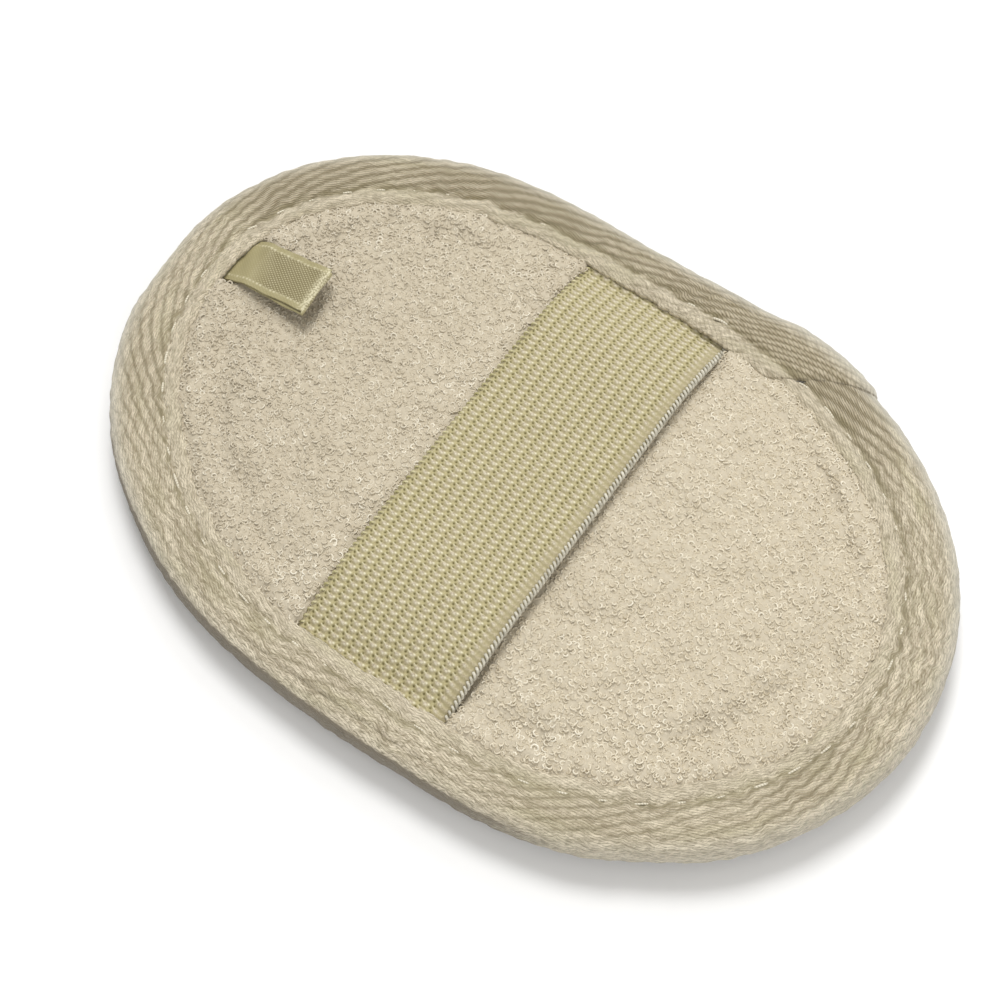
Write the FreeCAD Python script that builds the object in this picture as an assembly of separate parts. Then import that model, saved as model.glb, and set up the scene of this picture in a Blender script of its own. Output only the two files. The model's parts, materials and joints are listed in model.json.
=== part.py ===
import FreeCAD, Part
import math
import os

# Oval loofah back scrubber: a loofah face and a terry cloth back over a thin foam interlining,
# bound all round with folded cotton tape, with an elastic hand strap and a folded ribbon loop.
#
# Millimetres, +Z up out of the terry side. +X is the long axis and +Y runs along the strap.
# The origin is at the centre of the bounding box's underside, on the loofah face.
# The front is the -Y side and the rear the +Y side.

Vector = FreeCAD.Vector

# ---------------------------------------------------------------- driving dimensions
# Outline of the pad: a squarish oval, drawn in a little where the strap pulls on it.
HALF_LENGTH = 79.0
HALF_WIDTH = 60.5
SQUARENESS = 2.11
WAIST_DEPTH = 0.11
WAIST_REACH = 40.0
LEAN = -0.034
UNEVENNESS = 0.010
BOXINESS = 0.006
OUTLINE_POINTS = 72
NORMAL_STEP = 0.002

# Heights of the layers at the bound rim, from the loofah face's lowest point.
TAPE_BOTTOM = 3.0
TAPE_TOP = 9.0
TAPE_THICKNESS = 1.0
LOOFAH_RIM = (4.1, 5.3)
FOAM_RIM = (5.4, 5.9)
TERRY_RIM = (6.0, 7.9)
LAYER_INSET = 3.3
FOAM_INSET = 4.6
LAYER_GAP = 0.1

# How the layers swell inside the binding: distance inward from the tape's edge, and height.
TAPE_EDGE_GAP = 0.3
LOOFAH_SWELL = ((3.0, 2.6), (8.0, 1.2), (15.0, 0.3), (24.0, 0.0))
LOOFAH_INNER_SWELL = ((3.0, 5.25), (8.0, 5.1), (15.0, 4.8), (24.0, 4.5))
FOAM_SWELL = ((3.0, 6.3), (8.0, 7.2), (15.0, 8.0), (24.0, 8.5))
TERRY_SWELL = ((3.0, 8.7), (8.0, 9.6), (15.0, 10.3), (24.0, 10.8))

# Binding tape: folded over the edge, a little wider on the terry side, its end over its start.
TAPE_UPPER_WIDTH = 12.4
TAPE_UPPER_WANDER = 0.25
TAPE_NARROWING = 2.0
TAPE_NARROWING_BIAS = 0.4
TAPE_NARROWING_REACH = 34.0
TAPE_LOWER_WIDTH = 10.6
LAP_ANGLE = 51.0
LAP_OVERLAP = 10.0
LAP_RAMP = 6.0
LAP_LIFT = 1.1

# Seam: one long lockstitch row, near the tape's inner edge.
SEAM_FROM_TAPE_EDGE = 3.1
STITCH_PITCH = 6.4
STITCH_LENGTH = 3.2
STITCH_HALF_ANGLE = 2.5
THREAD_RADIUS = 0.25
THREAD_CLEARANCE = 0.05
SEAM_STEPS = 1440

# Elastic hand strap, 30 mm wide, across the pad.
STRAP_WIDTH = 30.0
STRAP_THICKNESS = 1.0
STRAP_SKEW = -2.0
STRAP_CENTRE_X = 0.6
STRAP_TAIL_LENGTH = 7.0
STRAP_TAIL_HEIGHT = 7.35
STRAP_CROWN_HEIGHT = 11.75
STRAP_CROWN_HALF = 22.0
STRAP_BEND = 2.2
STRAP_POINTS = 7
POCKET_CLEARANCE = 0.15

# Hanging loop: 10 mm ribbon folded double, its ends sewn in under the tape.
RIBBON_WIDTH = 10.0
RIBBON_PLY = 0.35
RIBBON_FOLD_RADIUS = 0.6
RIBBON_CENTRE_Y = 11.0
RIBBON_LENGTH = 14.0
RIBBON_RISE = 8.0
RIBBON_TAIL_THICKNESS = 0.8
RIBBON_TAIL_LENGTH = 6.5
RIBBON_TAIL_HEIGHT = 7.4
RIBBON_TAIL_RISE = 45.0
RIBBON_HINGE_CLIMB = 2.3
RIBBON_HINGE_GAP = 0.75

PIECE_GAP = 0.1


# ---------------------------------------------------------------- outline of the pad
def signed_power(value, power):
    """value raised to power, keeping its sign."""
    return math.copysign(abs(value) ** power, value)


def raw_outline(turn):
    """Point of the oval at parameter turn, in radians, before it is centred."""
    x = HALF_LENGTH * signed_power(math.cos(turn), 2.0 / SQUARENESS)
    y = HALF_WIDTH * signed_power(math.sin(turn), 2.0 / SQUARENESS)
    y *= 1.0 - WAIST_DEPTH * math.exp(-((x / WAIST_REACH) ** 2))
    swell = 1.0 + LEAN * math.sin(2 * turn) + UNEVENNESS * math.sin(3 * turn)
    swell += BOXINESS * math.cos(4 * turn)
    return x * swell, y * swell


def outline_centre():
    """Centre of the oval's bounding box."""
    points = [raw_outline(math.radians(degree)) for degree in range(360)]
    xs = [point[0] for point in points]
    ys = [point[1] for point in points]
    return (min(xs) + max(xs)) / 2, (min(ys) + max(ys)) / 2


CENTRE_X, CENTRE_Y = outline_centre()


def outline(turn):
    """Point of the pad's edge, centred on the origin."""
    x, y = raw_outline(turn)
    return x - CENTRE_X, y - CENTRE_Y


def inward_normal(turn):
    """Unit vector that points into the pad at parameter turn."""
    before = outline(turn - NORMAL_STEP)
    after = outline(turn + NORMAL_STEP)
    along_x = after[0] - before[0]
    along_y = after[1] - before[1]
    length = math.hypot(along_x, along_y)
    return -along_y / length, along_x / length


def inset_point(turn, inset, height):
    """Point inset from the pad's edge, square to it, at a height."""
    x, y = outline(turn)
    nx, ny = inward_normal(turn)
    return Vector(x + nx * inset, y + ny * inset, height)


def tape_upper_width(turn):
    """Width of the binding on the terry side: it wanders, and narrows at the strap's ends."""
    across = abs(HALF_LENGTH * math.cos(turn) / TAPE_NARROWING_REACH)
    narrowing = TAPE_NARROWING - TAPE_NARROWING_BIAS * math.sin(turn)
    wander = TAPE_UPPER_WANDER * math.sin(2 * turn)
    return TAPE_UPPER_WIDTH + wander - narrowing * math.exp(-(across ** 3))


def tape_lower_width(turn):
    """Width of the binding on the loofah side, the same all round."""
    return TAPE_LOWER_WIDTH


def turns(count):
    """Evenly spaced outline parameters, in radians."""
    return [2 * math.pi * index / count for index in range(count)]


def ring(inset, height):
    """Closed smooth wire round the pad at an inset, which is a function of the parameter."""
    points = [inset_point(turn, inset(turn), height) for turn in turns(OUTLINE_POINTS)]
    curve = Part.BSplineCurve()
    curve.interpolate(Points=points, PeriodicFlag=True)
    return Part.Wire([curve.toShape()])


# ---------------------------------------------------------------- layers of the pad
def inside_tape(width, distance):
    """Inset that lies distance inside the tape's edge."""
    return lambda turn: width(turn) + TAPE_EDGE_GAP + distance


def layer(lower, upper, lower_width, upper_width, edge_inset, rim):
    """Padded layer, lofted from its lower face's middle, round its rim, to its upper face's.

    lower and upper list its swell inside the tape, and rim its heights under the tape.
    """
    wires = [ring(inside_tape(lower_width, far), height) for far, height in reversed(lower)]
    wires.append(ring(inside_tape(lower_width, 0.0), rim[0]))
    wires.append(ring(lambda turn: edge_inset, rim[0]))
    wires.append(ring(lambda turn: edge_inset, rim[1]))
    wires.append(ring(inside_tape(upper_width, 0.0), rim[1]))
    wires += [ring(inside_tape(upper_width, far), height) for far, height in upper]
    return Part.makeLoft(wires, True, True)


def raised(swell):
    """The swell of the layer above, a gap higher."""
    return tuple((distance, height + LAYER_GAP) for distance, height in swell)


def make_loofah_face():
    """Flattened loofah gourd, bulging down between the edges of the binding."""
    return layer(LOOFAH_SWELL, LOOFAH_INNER_SWELL, tape_lower_width, tape_lower_width,
                 LAYER_INSET, LOOFAH_RIM)


def make_foam_core():
    """Thin sponge interlining, squeezed flat under the binding."""
    return layer(raised(LOOFAH_INNER_SWELL), FOAM_SWELL, tape_lower_width, tape_upper_width,
                 FOAM_INSET, FOAM_RIM)


def make_terry_back():
    """Terry cloth, its loops crushed where the strap's and the ribbon's tails are sewn in."""
    cloth = layer(raised(FOAM_SWELL), TERRY_SWELL, tape_upper_width, tape_upper_width,
                  LAYER_INSET, TERRY_RIM)
    cloth = cloth.cut(strap_length(POCKET_CLEARANCE))
    return cloth.cut(ribbon_tail(POCKET_CLEARANCE))


# ---------------------------------------------------------------- binding tape
def tape_section(turn, lift):
    """Folded tape in section, square to the pad's edge, standing lift off the layers."""
    bend = (TAPE_TOP - TAPE_BOTTOM) / 2
    middle = (TAPE_TOP + TAPE_BOTTOM) / 2
    outer = bend + lift
    inner = outer - TAPE_THICKNESS
    upper = tape_upper_width(turn)
    lower = tape_lower_width(turn)

    def line(start, end):
        return Part.LineSegment(inset_point(turn, *start), inset_point(turn, *end)).toShape()

    def fold(radius):
        top = inset_point(turn, bend, middle + radius)
        edge = inset_point(turn, bend - radius, middle)
        bottom = inset_point(turn, bend, middle - radius)
        return Part.Arc(top, edge, bottom).toShape()

    return Part.Wire([
        line((upper, middle + outer), (bend, middle + outer)),
        fold(outer),
        line((bend, middle - outer), (lower, middle - outer)),
        line((lower, middle - outer), (lower, middle - inner)),
        line((lower, middle - inner), (bend, middle - inner)),
        fold(inner),
        line((bend, middle + inner), (upper, middle + inner)),
        line((upper, middle + inner), (upper, middle + outer)),
    ])


def lap_lift(degrees_left):
    """How far the tape stands off its own start, by the degrees left to the tape's end."""
    reach = (LAP_OVERLAP + LAP_RAMP - degrees_left) / LAP_RAMP
    reach = min(1.0, max(0.0, reach))
    return LAP_LIFT * reach * reach * (3 - 2 * reach)


def make_binding_tape():
    """One strip: it starts under the lap, runs clockwise round the pad and ends over its start."""
    travel = 360.0 + LAP_OVERLAP
    count = round(OUTLINE_POINTS * travel / 360.0)
    sections = []
    for index in range(count + 1):
        degrees_left = travel * (1 - index / count)
        turn = math.radians(LAP_ANGLE + degrees_left)
        sections.append(tape_section(turn, lap_lift(degrees_left)))
    return Part.makeLoft(sections, True, True)


# ---------------------------------------------------------------- seam thread
def seam_inset(width):
    """Inset of the seam, near the edge of a tape of that width."""
    return lambda turn: width(turn) - SEAM_FROM_TAPE_EDGE


def seam_turns(inset):
    """Outline parameters of the stitches, evenly spaced along the seam."""
    fine = turns(SEAM_STEPS)
    points = [inset_point(turn, inset(turn), 0.0) for turn in fine]
    steps = [points[index].distanceToPoint(points[index - 1]) for index in range(SEAM_STEPS)]
    pitch = sum(steps) / round(sum(steps) / STITCH_PITCH)
    places = []
    run = 0.0
    for turn, step in zip(fine, steps):
        run += step
        if run >= pitch * (len(places) + 0.5):
            places.append(turn)
    return places


def lap_height(turn):
    """Height that the lap adds to the tape under a stitch."""
    degrees = math.degrees(turn) - LAP_ANGLE
    ends = [(degrees + side * STITCH_HALF_ANGLE) % 360.0 for side in (-1, 0, 1)]
    return max(lap_lift(left) for left in ends)


def stitch_row(width, surface, side):
    """The lengths of thread that show along one side of the seam, side being up or down."""
    inset = seam_inset(width)
    solids = []
    for turn in seam_turns(inset):
        height = surface + side * (lap_height(turn) + THREAD_RADIUS + THREAD_CLEARANCE)
        nx, ny = inward_normal(turn)
        along = Vector(ny, -nx, 0)
        start = inset_point(turn, inset(turn), height) - along * (STITCH_LENGTH / 2)
        solids.append(Part.makeCylinder(THREAD_RADIUS, STITCH_LENGTH, start, along))
    return Part.makeCompound(solids)


def make_top_stitches():
    """Needle thread on the terry side."""
    return stitch_row(tape_upper_width, TAPE_TOP, 1)


def make_underside_stitches():
    """Bobbin thread on the loofah side."""
    return stitch_row(tape_lower_width, TAPE_BOTTOM, -1)


# ---------------------------------------------------------------- elastic hand strap
def strap_reach(side):
    """Distance along the strap from the middle to the tape's edge, on side -1 or +1."""
    half = STRAP_WIDTH / 2 + 1.0
    distances = []
    for turn in turns(SEAM_STEPS):
        point = inset_point(turn, tape_upper_width(turn), 0.0)
        if point.y * side > 0 and abs(point.x - STRAP_CENTRE_X) < half:
            distances.append(abs(point.y))
    return min(distances) - TAPE_EDGE_GAP


def strap_height(along, reach):
    """Height of the strap's middle line at a distance along it from the pad's middle."""
    beyond = max(0.0, along - STRAP_CROWN_HALF)
    share = min(1.0, beyond / (reach - STRAP_CROWN_HALF))
    return STRAP_CROWN_HEIGHT - (STRAP_CROWN_HEIGHT - STRAP_TAIL_HEIGHT) * share ** STRAP_BEND


def strap_piece(start, end, side, clearance=0.0):
    """Stretch of the strap between two distances from the middle, on one side of the pad."""
    reach = strap_reach(side)
    half = STRAP_THICKNESS / 2 + clearance
    width = STRAP_WIDTH + 2 * clearance

    def profile(offset):
        points = []
        for index in range(STRAP_POINTS):
            along = start + (end - start) * index / (STRAP_POINTS - 1)
            points.append(Vector(0, side * along, strap_height(abs(along), reach) + offset))
        curve = Part.BSplineCurve()
        curve.interpolate(points)
        return points[0], points[-1], curve.toShape()

    low_start, low_end, low = profile(-half)
    high_start, high_end, high = profile(half)
    closing = [Part.LineSegment(low_end, high_end).toShape(),
               Part.LineSegment(high_start, low_start).toShape()]
    section = Part.Face(Part.Wire(Part.__sortEdges__([low, high] + closing)))
    section.translate(Vector(-width / 2, 0, 0))
    piece = section.extrude(Vector(width, 0, 0))
    piece.rotate(Vector(0, 0, 0), Vector(0, 0, 1), STRAP_SKEW)
    piece.translate(Vector(STRAP_CENTRE_X, 0, 0))
    return piece


def strap_side(side, clearance=0.0):
    """Stretch between the middle of the strap and its sewn tail."""
    start = STRAP_CROWN_HALF + PIECE_GAP / 2
    return strap_piece(start, strap_reach(side) - PIECE_GAP / 2, side, clearance)


def strap_tail(side, clearance=0.0):
    """Sewn end of the strap, caught under the tape."""
    start = strap_reach(side) + PIECE_GAP / 2
    return strap_piece(start, start + STRAP_TAIL_LENGTH, side, clearance)


def strap_length(clearance):
    """The whole strap with room round it."""
    pieces = []
    for side in (-1, 1):
        reach = strap_reach(side)
        pieces.append(strap_piece(0.0, STRAP_CROWN_HALF + PIECE_GAP, side, clearance))
        pieces.append(strap_piece(STRAP_CROWN_HALF, reach, side, clearance))
        pieces.append(strap_piece(reach - PIECE_GAP, reach + STRAP_TAIL_LENGTH + 2 * PIECE_GAP,
                                  side, clearance))
    return pieces


def make_strap_middle():
    """Flat stretch over the middle of the pad, which lifts for a hand."""
    return strap_piece(-STRAP_CROWN_HALF, STRAP_CROWN_HALF, 1)


# ---------------------------------------------------------------- hanging loop
def ribbon_root():
    """X of the tape's edge where the ribbon comes out, at the ribbon's innermost corner."""
    edges = []
    for turn in turns(SEAM_STEPS):
        point = inset_point(turn, tape_upper_width(turn), 0.0)
        if point.x < 0 and abs(point.y - RIBBON_CENTRE_Y) < RIBBON_WIDTH / 2:
            edges.append(point.x)
    return max(edges) + TAPE_EDGE_GAP


def ribbon_hinge():
    """Line that the loop turns about, as x and z."""
    rise = math.tan(math.radians(RIBBON_TAIL_RISE))
    return ribbon_root() + RIBBON_HINGE_CLIMB / rise, RIBBON_TAIL_HEIGHT + RIBBON_HINGE_CLIMB


def ribbon_solid(section, width):
    """Solid of that width across the ribbon, from its section in the XZ plane."""
    section.translate(Vector(0, RIBBON_CENTRE_Y - width / 2, 0))
    return section.extrude(Vector(0, width, 0))


def ribbon_tail(clearance=0.0):
    """Sewn end of the doubled ribbon: flat under the tape, then turned up past its edge."""
    half = RIBBON_TAIL_THICKNESS / 2 + clearance
    rise = math.radians(RIBBON_TAIL_RISE)
    bend_x = ribbon_root()
    hinge_x, hinge_z = ribbon_hinge()
    mitre = half * math.tan(rise / 2)
    gap = RIBBON_HINGE_GAP - clearance
    end_x = hinge_x - gap * math.cos(rise)
    end_z = hinge_z - gap * math.sin(rise)
    start_x = bend_x - RIBBON_TAIL_LENGTH - clearance
    corners = [
        Vector(start_x, 0, RIBBON_TAIL_HEIGHT - half),
        Vector(bend_x + mitre, 0, RIBBON_TAIL_HEIGHT - half),
        Vector(end_x + half * math.sin(rise), 0, end_z - half * math.cos(rise)),
        Vector(end_x - half * math.sin(rise), 0, end_z + half * math.cos(rise)),
        Vector(bend_x - mitre, 0, RIBBON_TAIL_HEIGHT + half),
        Vector(start_x, 0, RIBBON_TAIL_HEIGHT + half),
    ]
    section = Part.Face(Part.makePolygon(corners + corners[:1]))
    return ribbon_solid(section, RIBBON_WIDTH + 2 * clearance)


def make_hanging_loop():
    """Both plies of the loop from the hinge line to the fold at its tip."""
    outer = RIBBON_FOLD_RADIUS
    inner = outer - RIBBON_PLY
    straight = RIBBON_LENGTH - outer

    def fold(radius):
        return Part.Arc(Vector(straight, 0, radius), Vector(straight + radius, 0, 0),
                        Vector(straight, 0, -radius)).toShape()

    def line(start, end):
        return Part.LineSegment(Vector(start[0], 0, start[1]), Vector(end[0], 0, end[1])).toShape()

    section = Part.Face(Part.Wire([
        line((0, outer), (straight, outer)),
        fold(outer),
        line((straight, -outer), (0, -outer)),
        line((0, -outer), (0, -inner)),
        line((0, -inner), (straight, -inner)),
        fold(inner),
        line((straight, inner), (0, inner)),
        line((0, inner), (0, outer)),
    ]))
    section.rotate(Vector(0, 0, 0), Vector(0, 1, 0), -RIBBON_RISE)
    hinge_x, hinge_z = ribbon_hinge()
    section.translate(Vector(hinge_x, 0, hinge_z))
    return ribbon_solid(section, RIBBON_WIDTH)


# ---------------------------------------------------------------- the pieces
def build():
    """Every sub-part by its name."""
    return {
        "loofah_face": make_loofah_face(),
        "foam_core": make_foam_core(),
        "terry_back": make_terry_back(),
        "binding_tape": make_binding_tape(),
        "top_stitches": make_top_stitches(),
        "underside_stitches": make_underside_stitches(),
        "strap_tail_front": strap_tail(-1),
        "strap_tail_rear": strap_tail(1),
        "strap_side_front": strap_side(-1),
        "strap_side_rear": strap_side(1),
        "strap_middle": make_strap_middle(),
        "ribbon_tail": ribbon_tail(),
        "hanging_loop": make_hanging_loop(),
    }


os.makedirs("parts", exist_ok=True)
for name, shape in build().items():
    shape.exportStep(f"parts/{name}.step")
    box = shape.BoundBox
    print(f"{name}: {len(shape.Solids)} solid(s), valid {shape.isValid()}, volume {shape.Volume:.0f}")
    print(f"    x {box.XMin:.2f} {box.XMax:.2f}, y {box.YMin:.2f} {box.YMax:.2f}, z {box.ZMin:.2f} {box.ZMax:.2f}")
print("ribbon hinge x, z:", ribbon_hinge())
print("strap reach front, rear:", strap_reach(-1), strap_reach(1))
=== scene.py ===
import json
import math

import bpy
import numpy as np
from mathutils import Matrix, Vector
from mathutils.bvhtree import BVHTree


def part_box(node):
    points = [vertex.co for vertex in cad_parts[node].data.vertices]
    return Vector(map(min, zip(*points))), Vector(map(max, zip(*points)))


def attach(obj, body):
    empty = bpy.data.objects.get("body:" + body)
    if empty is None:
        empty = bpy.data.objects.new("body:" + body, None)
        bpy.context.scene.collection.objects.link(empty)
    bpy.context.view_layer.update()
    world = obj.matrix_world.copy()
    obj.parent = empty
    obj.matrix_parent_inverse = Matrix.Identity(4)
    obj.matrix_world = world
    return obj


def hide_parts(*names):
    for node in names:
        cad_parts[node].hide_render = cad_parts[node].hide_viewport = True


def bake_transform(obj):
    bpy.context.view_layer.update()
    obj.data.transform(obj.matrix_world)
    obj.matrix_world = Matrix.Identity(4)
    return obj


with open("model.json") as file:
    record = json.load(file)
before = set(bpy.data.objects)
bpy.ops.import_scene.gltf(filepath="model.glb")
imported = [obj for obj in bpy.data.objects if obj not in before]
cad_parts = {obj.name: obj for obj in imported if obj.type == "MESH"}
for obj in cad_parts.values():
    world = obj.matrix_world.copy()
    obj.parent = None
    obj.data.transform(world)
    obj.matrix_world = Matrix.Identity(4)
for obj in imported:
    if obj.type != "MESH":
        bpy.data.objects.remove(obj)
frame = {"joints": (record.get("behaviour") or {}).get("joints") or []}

# Looks of the oval loofah back scrubber: terry cloth with real loops, twill binding tape with its
# seam, knitted elastic strap, folded ribbon loop, and a fibrous loofah face underneath.
# Everything is in metres in the CAD frame. Shapes are worked out in millimetres and scaled once.

MM = 0.001
UP = np.array([0, 0, 1.0])
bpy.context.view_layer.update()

# ---------------------------------------------------------------- the pad's sizes, mm
# These follow the CAD, apart from the lap, which lies further round, overlaps more and is slanted.
HALF_LENGTH = 79.0
HALF_WIDTH = 60.5
SQUARENESS = 2.11
WAIST_DEPTH = 0.11
WAIST_REACH = 40.0
LEAN = -0.034
UNEVENNESS = 0.010
BOXINESS = 0.006

RIM_MIDDLE = 6.0
RIM_RADIUS = 3.0
TAPE_THICKNESS = 0.8
TAPE_UPPER_WIDTH = 12.4
TAPE_UPPER_WANDER = 0.25
TAPE_NARROWING = 2.0
TAPE_NARROWING_BIAS = 0.4
TAPE_NARROWING_REACH = 34.0
TAPE_LOWER_WIDTH = 10.6
SEAM_FROM_TAPE_EDGE = 3.1
STITCH_PITCH = 6.4
LAP_ANGLE = 55.5
LAP_OVERLAP = 15.0
LAP_RAMP = 6.0
LAP_LIFT = 0.55
LAP_SLANT = 12.5
LAP_SLANT_REACH = 50.0

GROUND_EDGE_HEIGHT = 8.4
GROUND_RISE = 1.6
GROUND_RISE_REACH = 9.5

STRAP_SKEW = math.radians(-2.0)
STRAP_CENTRE_X = 0.6
STRAP_WIDTH = 30.0
STRAP_THICKNESS = 1.1
STRAP_BEND = 2.2
STRAP_CROWN_HALF = 22.0
STRAP_TAIL_LENGTH = 7.0

# ---------------------------------------------------------------- the look's own sizes, mm
PAD_VOXEL = 2.5
LOOP_PITCH = 0.82
LOOP_YARN_RADIUS = 0.175
HOLLOW_UNDER_RIBBON = 1.8
THREAD_RADIUS = 0.20
RIB_PITCH = 1.82
RIB_LEAN = math.radians(14)
FLOAT_PITCH = 0.45
FLOAT_LEAN = math.radians(16)
STRAP_TILT = 0.35
STRAP_TILT_REACH = 14.0
STRAP_WAVE = 0.10
STRAP_WAVE_LENGTH = 17.0
KNIT_COLUMNS_PER_MM = 0.467
KNIT_COURSES_PER_MM = 0.85
KNIT_SLANT = 0.049
RIBBON_PAST_CAD = 0.9
RIBBON_CLIMB = 4.4
RIBBON_DOT_PITCH = 0.80


# ---------------------------------------------------------------- small numpy tools
def soft_noise(x, y, scale, seed, waves=16):
    """Smooth random field of about unit size, made of seeded plane waves of roughly that scale."""
    rng = np.random.default_rng(seed)
    total = np.zeros(np.broadcast(x, y).shape)
    for _ in range(waves):
        heading, phase = rng.uniform(0, 2 * math.pi, 2)
        rate = 2 * math.pi / scale * rng.uniform(0.6, 1.6)
        total = total + np.sin(rate * (x * math.cos(heading) + y * math.sin(heading)) + phase)
    return total / math.sqrt(waves / 2)


def bump_at(value, centre, width):
    """Bell curve, 1 at centre."""
    return np.exp(-(((value - centre) / width) ** 2))


def smooth_step(value, low, high):
    """0 below low, 1 above high, smooth between."""
    share = np.clip((value - low) / (high - low), 0.0, 1.0)
    return share * share * (3 - 2 * share)


def within(value, full, none):
    """1 where value lies within full of zero, falling to 0 at none."""
    return 1 - smooth_step(np.abs(value), full, none)


def run_along(line):
    """Distance run along a line up to each of its points."""
    return np.concatenate([[0], np.cumsum(np.linalg.norm(np.diff(line, axis=0), axis=1))])


def lattice(half_x, half_y, step):
    """The x and y of a grid of points about the middle."""
    xs = np.arange(-half_x, half_x + step, step)
    ys = np.arange(-half_y, half_y + step, step)
    return np.meshgrid(xs, ys, indexing="ij")


# ---------------------------------------------------------------- outline of the pad
def signed_power(value, power):
    return np.sign(value) * np.abs(value) ** power


def raw_outline(turn):
    """Points of the oval, in mm, before it is centred."""
    x = HALF_LENGTH * signed_power(np.cos(turn), 2.0 / SQUARENESS)
    y = HALF_WIDTH * signed_power(np.sin(turn), 2.0 / SQUARENESS)
    y = y * (1.0 - WAIST_DEPTH * np.exp(-((x / WAIST_REACH) ** 2)))
    swell = 1.0 + LEAN * np.sin(2 * turn) + UNEVENNESS * np.sin(3 * turn)
    swell = swell + BOXINESS * np.cos(4 * turn)
    return np.stack([x * swell, y * swell], -1)


WHOLE_TURN = np.radians(np.arange(360))
OUTLINE_CENTRE = (raw_outline(WHOLE_TURN).min(0) + raw_outline(WHOLE_TURN).max(0)) / 2


def outline(turn):
    return raw_outline(turn) - OUTLINE_CENTRE


def inward_normal(turn):
    """Unit vectors into the pad, square to its edge."""
    step = 0.002
    along = outline(turn + step) - outline(turn - step)
    along /= np.linalg.norm(along, axis=-1, keepdims=True)
    return np.stack([-along[..., 1], along[..., 0]], -1)


def upper_width(turn):
    """Width of the tape on the terry side."""
    across = np.abs(HALF_LENGTH * np.cos(turn) / TAPE_NARROWING_REACH)
    narrowing = TAPE_NARROWING - TAPE_NARROWING_BIAS * np.sin(turn)
    wander = TAPE_UPPER_WANDER * np.sin(2 * turn)
    return TAPE_UPPER_WIDTH + wander - narrowing * np.exp(-(across ** 3))


def lower_width(turn):
    """Width of the tape on the loofah side, the same all round."""
    return TAPE_LOWER_WIDTH + 0.0 * turn


def inset_line(turn, inset):
    """Points inset from the pad's edge."""
    return outline(turn) + inward_normal(turn) * np.asarray(inset)[..., None]


EDGE_TURNS = np.linspace(0, 2 * math.pi, 721)[:-1]
UPPER_EDGE = inset_line(EDGE_TURNS, upper_width(EDGE_TURNS))
LOWER_EDGE = inset_line(EDGE_TURNS, lower_width(EDGE_TURNS))


def inside_by(x, y, edge):
    """How far each point lies inside a closed edge, negative outside, in mm."""
    x = np.asarray(x, float)
    flat = np.stack([x.ravel(), np.asarray(y, float).ravel()], -1)
    along = np.roll(edge, -1, 0) - np.roll(edge, 1, 0)
    along /= np.linalg.norm(along, axis=1, keepdims=True)
    inward = np.stack([-along[:, 1], along[:, 0]], -1)
    result = np.empty(len(flat))
    for start in range(0, len(flat), 8000):
        part = flat[start:start + 8000]
        gap = part[:, None, :] - edge[None, :, :]
        nearest = (gap ** 2).sum(-1).argmin(1)
        chosen = gap[np.arange(len(part)), nearest]
        side = np.sign((chosen * inward[nearest]).sum(-1))
        result[start:start + 8000] = side * np.linalg.norm(chosen, axis=1)
    return result.reshape(x.shape)


# ---------------------------------------------------------------- mesh tools
def new_object(name, points, faces, material, smooth=True):
    """Mesh object from points in mm and arrays of faces, each array (count, corners)."""
    faces = [np.asarray(group) for group in faces if len(group)]
    corners = np.concatenate([group.ravel() for group in faces])
    sizes = np.concatenate([np.full(len(group), group.shape[1]) for group in faces])
    mesh = bpy.data.meshes.new(name)
    mesh.vertices.add(len(points))
    mesh.vertices.foreach_set("co", (np.asarray(points) * MM).astype(np.float32).ravel())
    mesh.loops.add(len(corners))
    mesh.loops.foreach_set("vertex_index", corners.astype(np.int32))
    mesh.polygons.add(len(sizes))
    starts = np.concatenate([[0], np.cumsum(sizes)[:-1]])
    mesh.polygons.foreach_set("loop_start", starts.astype(np.int32))
    mesh.polygons.foreach_set("use_smooth", np.full(len(sizes), smooth))
    mesh.update(calc_edges=True)
    mesh.validate()
    mesh.materials.append(material)
    piece = bpy.data.objects.new(name, mesh)
    bpy.context.scene.collection.objects.link(piece)
    return piece


def paint(piece, name, values):
    """Stores one number or vector for each point, for the material to read."""
    values = np.asarray(values, np.float32)
    if values.ndim == 1:
        layer = piece.data.attributes.new(name, "FLOAT", "POINT")
        layer.data.foreach_set("value", values)
    else:
        layer = piece.data.attributes.new(name, "FLOAT_VECTOR", "POINT")
        layer.data.foreach_set("vector", values.ravel())


def grid_faces(rows, columns, wrap_columns=False):
    """Quads of a grid of points stored row by row."""
    row = np.arange(rows - 1)
    column = np.arange(columns if wrap_columns else columns - 1)
    row, column = np.meshgrid(row, column, indexing="ij")
    here, below, beside = row * columns, (row + 1) * columns, (column + 1) % columns
    quads = np.stack([here + column, below + column, below + beside, here + beside], -1)
    return quads.reshape(-1, 4)


def ring_ends(rows, loop):
    """The two end faces of a band whose every row closes into a ring of points."""
    ring = np.arange(loop)
    return np.array([ring, (rows - 1) * loop + ring[::-1]])


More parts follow.
